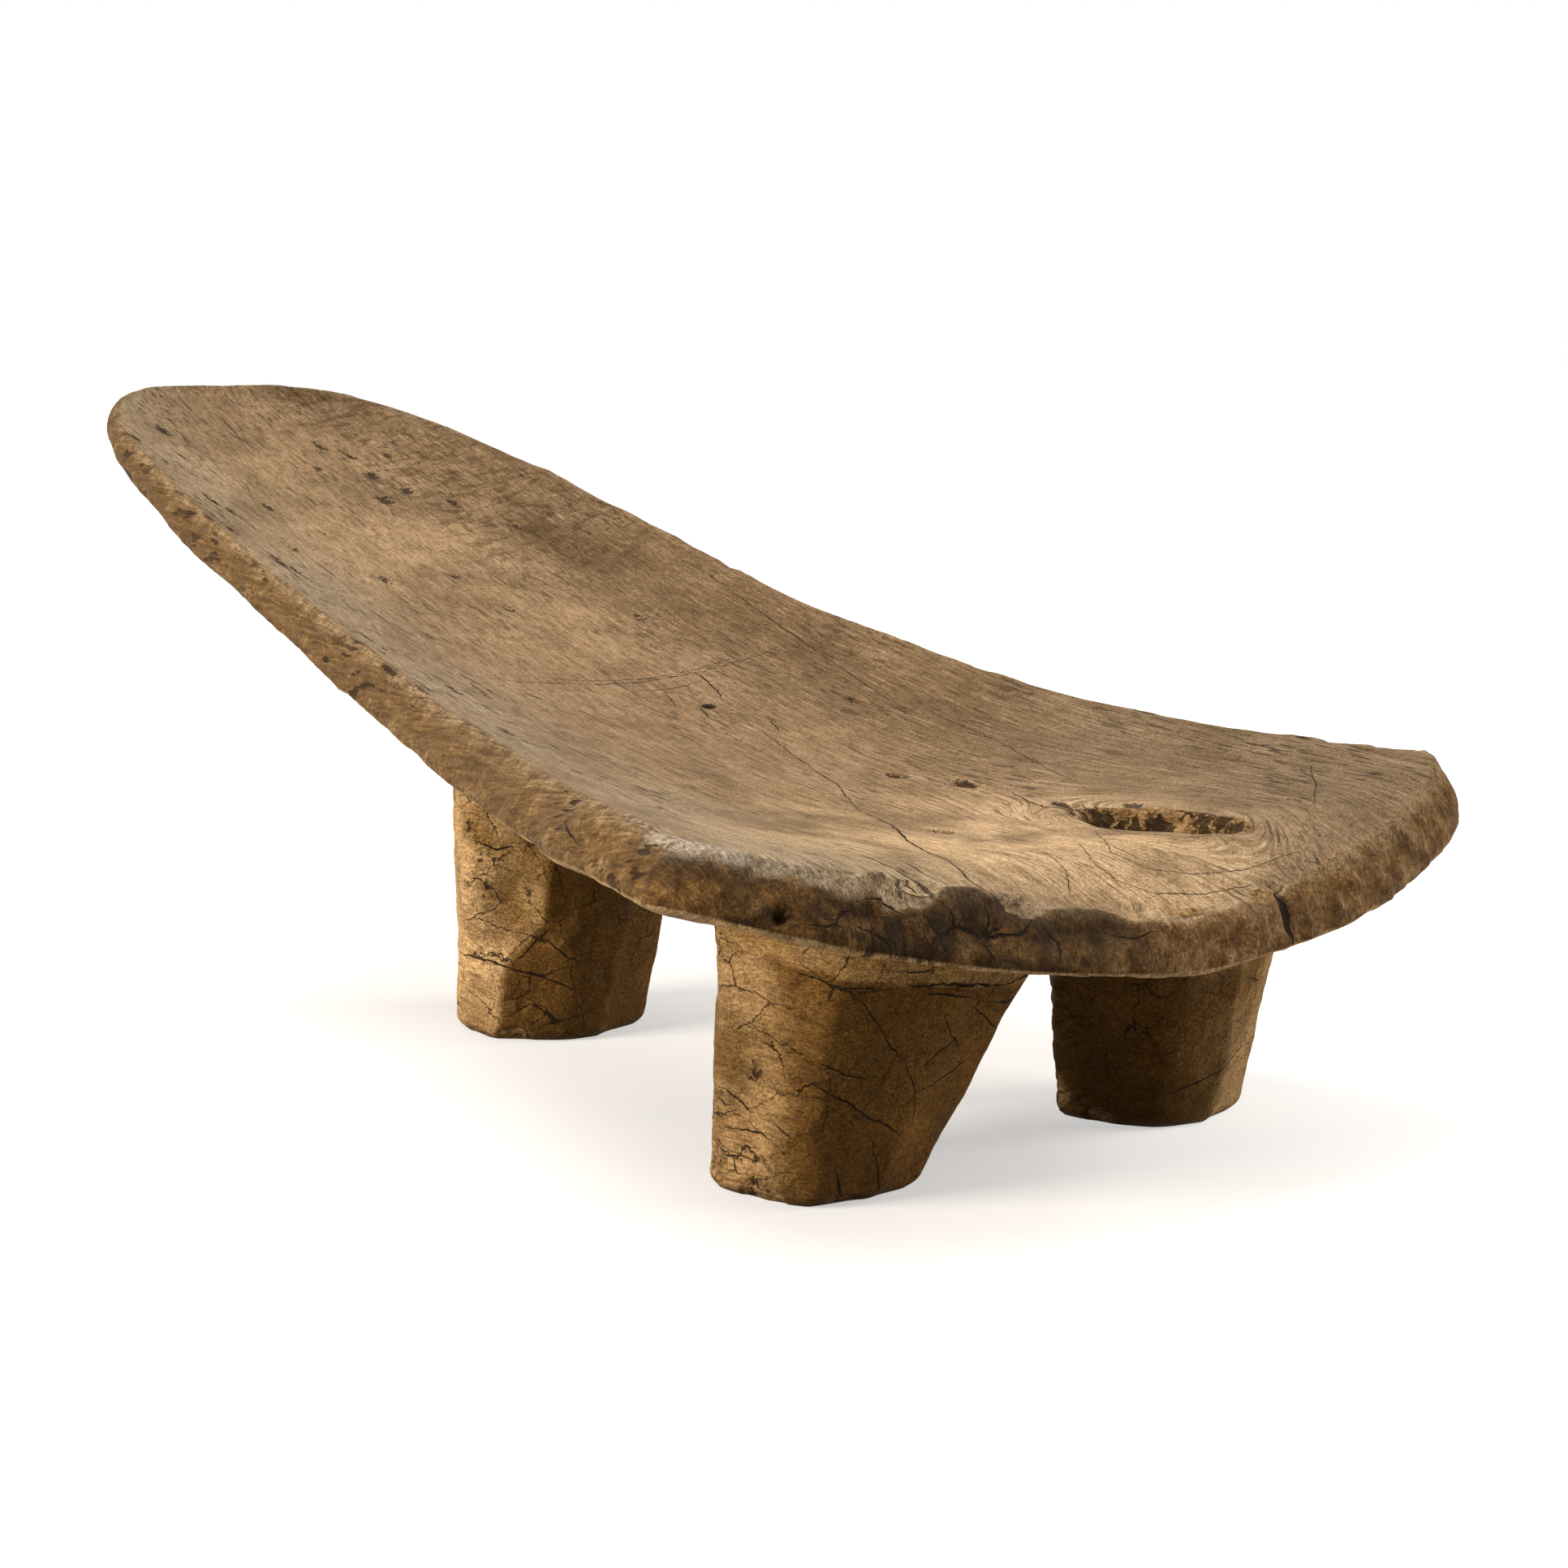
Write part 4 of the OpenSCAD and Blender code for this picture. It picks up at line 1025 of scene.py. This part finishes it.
    # A rubbed line along the crest itself, and a painted highlight, a silvery glint, on part of it
    for start, full, most, over in ((0.38, 0.60, onCrest, look["worn"]), (0.40, 0.56, paintedGlint, look["paintedGlintColour"])):
        share = add("MapRange", {0: noise["wear"], 1: start, 2: full, 4: most}, **eased)
        colour = add("Mix", {0: share, 6: colour, 7: over}, 2, data_type="RGBA")
    # Fibres, hairs and grit change the lightness everywhere
    for value, stops in ((noise["fibres"], [(0.34, "#d3cdc2"), (0.62, "#ffffff")]),
                         (noise["hairs"], [(0.36, "#cbc4b8"), (0.60, "#ffffff")]),
                         (noise["speckle"], [(0.54, "#ffffff"), (0.70, "#c6baa6")]),
                         (noise["grit"], [(0.36, "#c4bcb0"), (0.60, "#ffffff")])):
        shade = add("ValToRGB", {0: value}, stops=stops)
        colour = add("Mix", {0: 1.0, 6: colour, 7: shade}, 2, data_type="RGBA", blend_type="MULTIPLY")
    # Torn wood in the knot and in fresh chips: warm fibres with dark gaps between them
    tornStops = [(0.35, "#1f140a"), (0.43, "#5f4526"), (0.53, "#92714a"), (0.68, "#bf9b6c")]
    tornColour = add("ValToRGB", {0: noise["tornFibres"]}, stops=tornStops)
    tornEdge = add("Math", {0: noise["middle"], 1: 0.5, 2: torn}, operation="MULTIPLY_ADD")
    tornShare = add("MapRange", {0: tornEdge, 1: 0.37, 2: 0.61}, **eased)
    colour = add("Mix", {0: tornShare, 6: colour, 7: tornColour}, 2, data_type="RGBA")

    # Short dark dashes along the grain where fibres have pulled out
    fewest, most = 0.45 * look["dashed"], 0.85 * look["dashed"]
    dashShare = add("MapRange", {0: grey, 1: 0.0, 2: 0.6, 3: fewest, 4: most})
    dashMost = add("MapRange", {0: noise["dashPlaces"], 1: 0.42, 2: 0.58, 4: dashShare}, **eased)
    dashes = add("MapRange", {0: noise["dashes"], 1: 0.60, 2: 0.64, 4: dashMost}, **eased)
    # Hairline checks: the borders of bent cells about 28 mm wide and 80 mm long, broken up by noise
    bend = add("TexNoise", {"Vector": place, "Scale": 60.0, "Detail": 5.0, "Roughness": 0.6}, "Color")
    bentGrain = add("VectorMath", {0: bend, 1: (0.016, 0.016, 0.016), 2: grain}, operation="MULTIPLY_ADD")
    squeezed = add("Mapping", {"Vector": bentGrain, "Scale": (1, 0.35, 1)})
    cells = add("TexVoronoi", {"Vector": squeezed, "Scale": 36.0}, "Distance", feature="DISTANCE_TO_EDGE")
    checkMost = add("MapRange", {0: noise["checkPlaces"], 1: 0.45, 2: 0.58, 4: look["checked"]}, **eased)
    checks = add("MapRange", {0: cells, 1: 0.015, 2: 0.004, 4: checkMost}, **eased)
    # The long cracks, whose distances the pieces carry. Noise bends them by up to 2.5 mm and closes them in places
    bent = add("Math", {0: noise["wobble"], 1: 5.0, 2: signed}, operation="MULTIPLY_ADD")
    bent = add("Math", {0: bent, 1: 2.5}, operation="SUBTRACT")
    away = add("Math", {0: bent}, operation="ABSOLUTE")
    opened = add("MapRange", {0: noise["gapes"], 1: 0.28, 2: 0.56, 4: crackWidth}, **eased)
    gap = add("Math", {0: away, 1: opened}, operation="SUBTRACT")
    cracks = add("MapRange", {0: gap, 1: 0.45, 2: -0.12, 4: 0.97}, **eased)
    # The pits, with borders made ragged by the speckle
    ragged = add("Math", {0: noise["speckle"], 1: 22.0, 2: pitGap}, operation="MULTIPLY_ADD")
    pits = add("MapRange", {0: ragged, 1: 11.4, 2: 9.8, 4: 0.85}, **eased)
    dark = cracks
    for other in (pits, dashes, checks):
        dark = add("Math", {0: dark, 1: other}, operation="MAXIMUM")
    colour = add("Mix", {0: dark, 6: colour, 7: "#180f06"}, 2, data_type="RGBA")

    # Relief: grit, fibres and skin stand up, and tool dabs and everything dark lie deeper
    dented = add("Math", {0: noise["dabs"], 1: dimpled}, operation="MULTIPLY")
    splinters = add("Math", {0: noise["tornFibres"], 1: tornShare}, operation="MULTIPLY")
    relief = add("Math", {0: noise["fibres"], 1: 0.55}, operation="MULTIPLY")
    for height, share in ((noise["speckle"], 0.45), (noise["hairs"], 0.25), (noise["middle"], 0.5), (dented, -3.0),
                          (splinters, 4.0), (noise["patches"], 0.8), (dark, -2.0)):
        relief = add("Math", {0: height, 1: share, 2: relief}, operation="MULTIPLY_ADD")
    bump = add("Bump", {"Height": relief, "Strength": 0.9, "Distance": 0.0013})
    smoothest, roughest = look["roughness"] - 0.08, look["roughness"] + 0.12
    rough = add("MapRange", {0: noise["middle"], 1: 0.35, 2: 0.65, 3: smoothest, 4: roughest})
    shader = add("BsdfPrincipled", {"Base Color": colour, "Roughness": rough, "IOR": 1.45,
                                    "Specular IOR Level": 0.08, "Normal": bump})
    add("OutputMaterial", {"Surface": shader})
    return material


woods = {name: carvedHardwood(name, look) for name, look in woodLooks.items()}
seat.data.materials.clear()
seat.data.materials.append(woods["worn_carved_hardwood"])
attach(seat, "root")
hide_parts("seat")
for legName, legPiece in legs.items():
    legPiece.data.materials.append(woods["adze_cut_hardwood"])
    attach(legPiece, "root")
    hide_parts(legName)
print("materials made")


studio = {
    "floor": "#b7b5b1", "floorHalf": 9, "floorBelow": 0.0004,  # metres: the soles stand clear of the floor's surface
    "floorGlow": 0.46, "glowMiddle": (-0.45, -0.25, 0.0), "glowReach": (0.55, 1.25), "world": 0.10,
    "lamps": [
        # name, azimuth and height angle from the chair, distance, width, watts, colour
        ("key", 174.0, 19.0, 3.4, 1.6, 205.0, "#fff6ea"),
        ("top", 190.0, 74.0, 3.2, 2.2, 100.0, "#ffffff"),
        ("fill", 322.0, 22.0, 3.4, 2.0, 122.0, "#fff8ee"),
    ],
    "aim": (0.0, -0.05, 0.25),
}


def seenDirectly(add):  # 1 for what the camera sees, also by reflection or through glass, and 0 for all other light
    ray = add("LightPath").node.outputs
    seen = add("Math", {0: ray["Is Camera Ray"], 1: ray["Is Glossy Ray"]}, operation="MAXIMUM")
    return add("Math", {0: seen, 1: ray["Is Transmission Ray"]}, operation="MAXIMUM")


def makeFloor():
    # A pale studio sweep. The camera sees plain white added, a little near the chair so that its shadow stays, and
    # more further off, where the lamps fade
    half, below = studio["floorHalf"], studio["floorBelow"]
    corners = [(-half, -half), (half, -half), (half, half), (-half, half)]
    mesh = bpy.data.meshes.new("studio_floor")
    mesh.from_pydata([(x, y, -below) for x, y in corners], [], [(0, 1, 2, 3)])
    floor = bpy.data.objects.new("studio_floor", mesh)
    bpy.context.scene.collection.objects.link(floor)
    material = bpy.data.materials.new("matt_paper_sweep")
    material.use_nodes = True
    tree = material.node_tree
    tree.nodes.clear()
    add = partial(addNode, tree)
    seen = seenDirectly(add)
    place = add("TexCoord", out="Object")
    away = add("VectorMath", {0: place, 1: studio["glowMiddle"]}, "Value", operation="DISTANCE")
    near, far = studio["glowReach"]
    glowShare = add("MapRange", {0: away, 1: near, 2: far, 3: studio["floorGlow"], 4: 1.0})
    strength = add("Math", {0: seen, 1: glowShare}, operation="MULTIPLY")
    matt = add("BsdfDiffuse", {"Color": studio["floor"]})
    glow = add("Emission", {"Color": "#ffffff", "Strength": strength})
    add("OutputMaterial", {"Surface": add("AddShader", {0: matt, 1: glow})})
    mesh.materials.append(material)


def makeLights():
    for name, azimuth, height, distance, width, watts, colour in studio["lamps"]:
        lamp = bpy.data.lights.new(name, "AREA")
        lamp.shape, lamp.size, lamp.energy, lamp.color = "SQUARE", width, watts, linearColour(colour)[:3]
        a, h = math.radians(azimuth), math.radians(height)
        way = Vector((math.cos(h) * math.cos(a), math.cos(h) * math.sin(a), math.sin(h)))
        stand = bpy.data.objects.new(name, lamp)
        stand.location = Vector(studio["aim"]) + way * distance
        stand.rotation_euler = way.to_track_quat("Z", "Y").to_euler()
        bpy.context.scene.collection.objects.link(stand)
    world = bpy.data.worlds.new("studio")
    bpy.context.scene.world = world
    world.use_nodes = True
    tree = world.node_tree
    tree.nodes.clear()
    add = partial(addNode, tree)
    seen = seenDirectly(add)
    white = add("Background", {"Color": "#ffffff", "Strength": 1.0})
    soft = add("Background", {"Color": "#ffffff", "Strength": studio["world"]})
    add("OutputWorld", {"Surface": add("MixShader", {0: seen, 1: soft, 2: white})})


view = {"place": (-1.4944, -2.4388, 0.6487), "azimuth": -34.36, "down": 9.0, "focalPixels": 4500.0, "pixels": 1932,
        "sensor": 36.0}


def makeCamera():  # a long lens a little above the head end's height, looking from the foot end's right
    camera = bpy.data.cameras.new("camera")
    camera.sensor_width = view["sensor"]
    camera.lens = view["sensor"] * view["focalPixels"] / view["pixels"]
    camera.clip_end = 60.0
    stand = bpy.data.objects.new("camera", camera)
    stand.location = view["place"]
    stand.rotation_euler = (math.radians(90 - view["down"]), 0, math.radians(view["azimuth"]))
    bpy.context.scene.collection.objects.link(stand)
    bpy.context.scene.camera = stand
    bpy.context.scene.view_settings.view_transform = "Standard"


makeFloor()
makeLights()
makeCamera()
print("studio set")
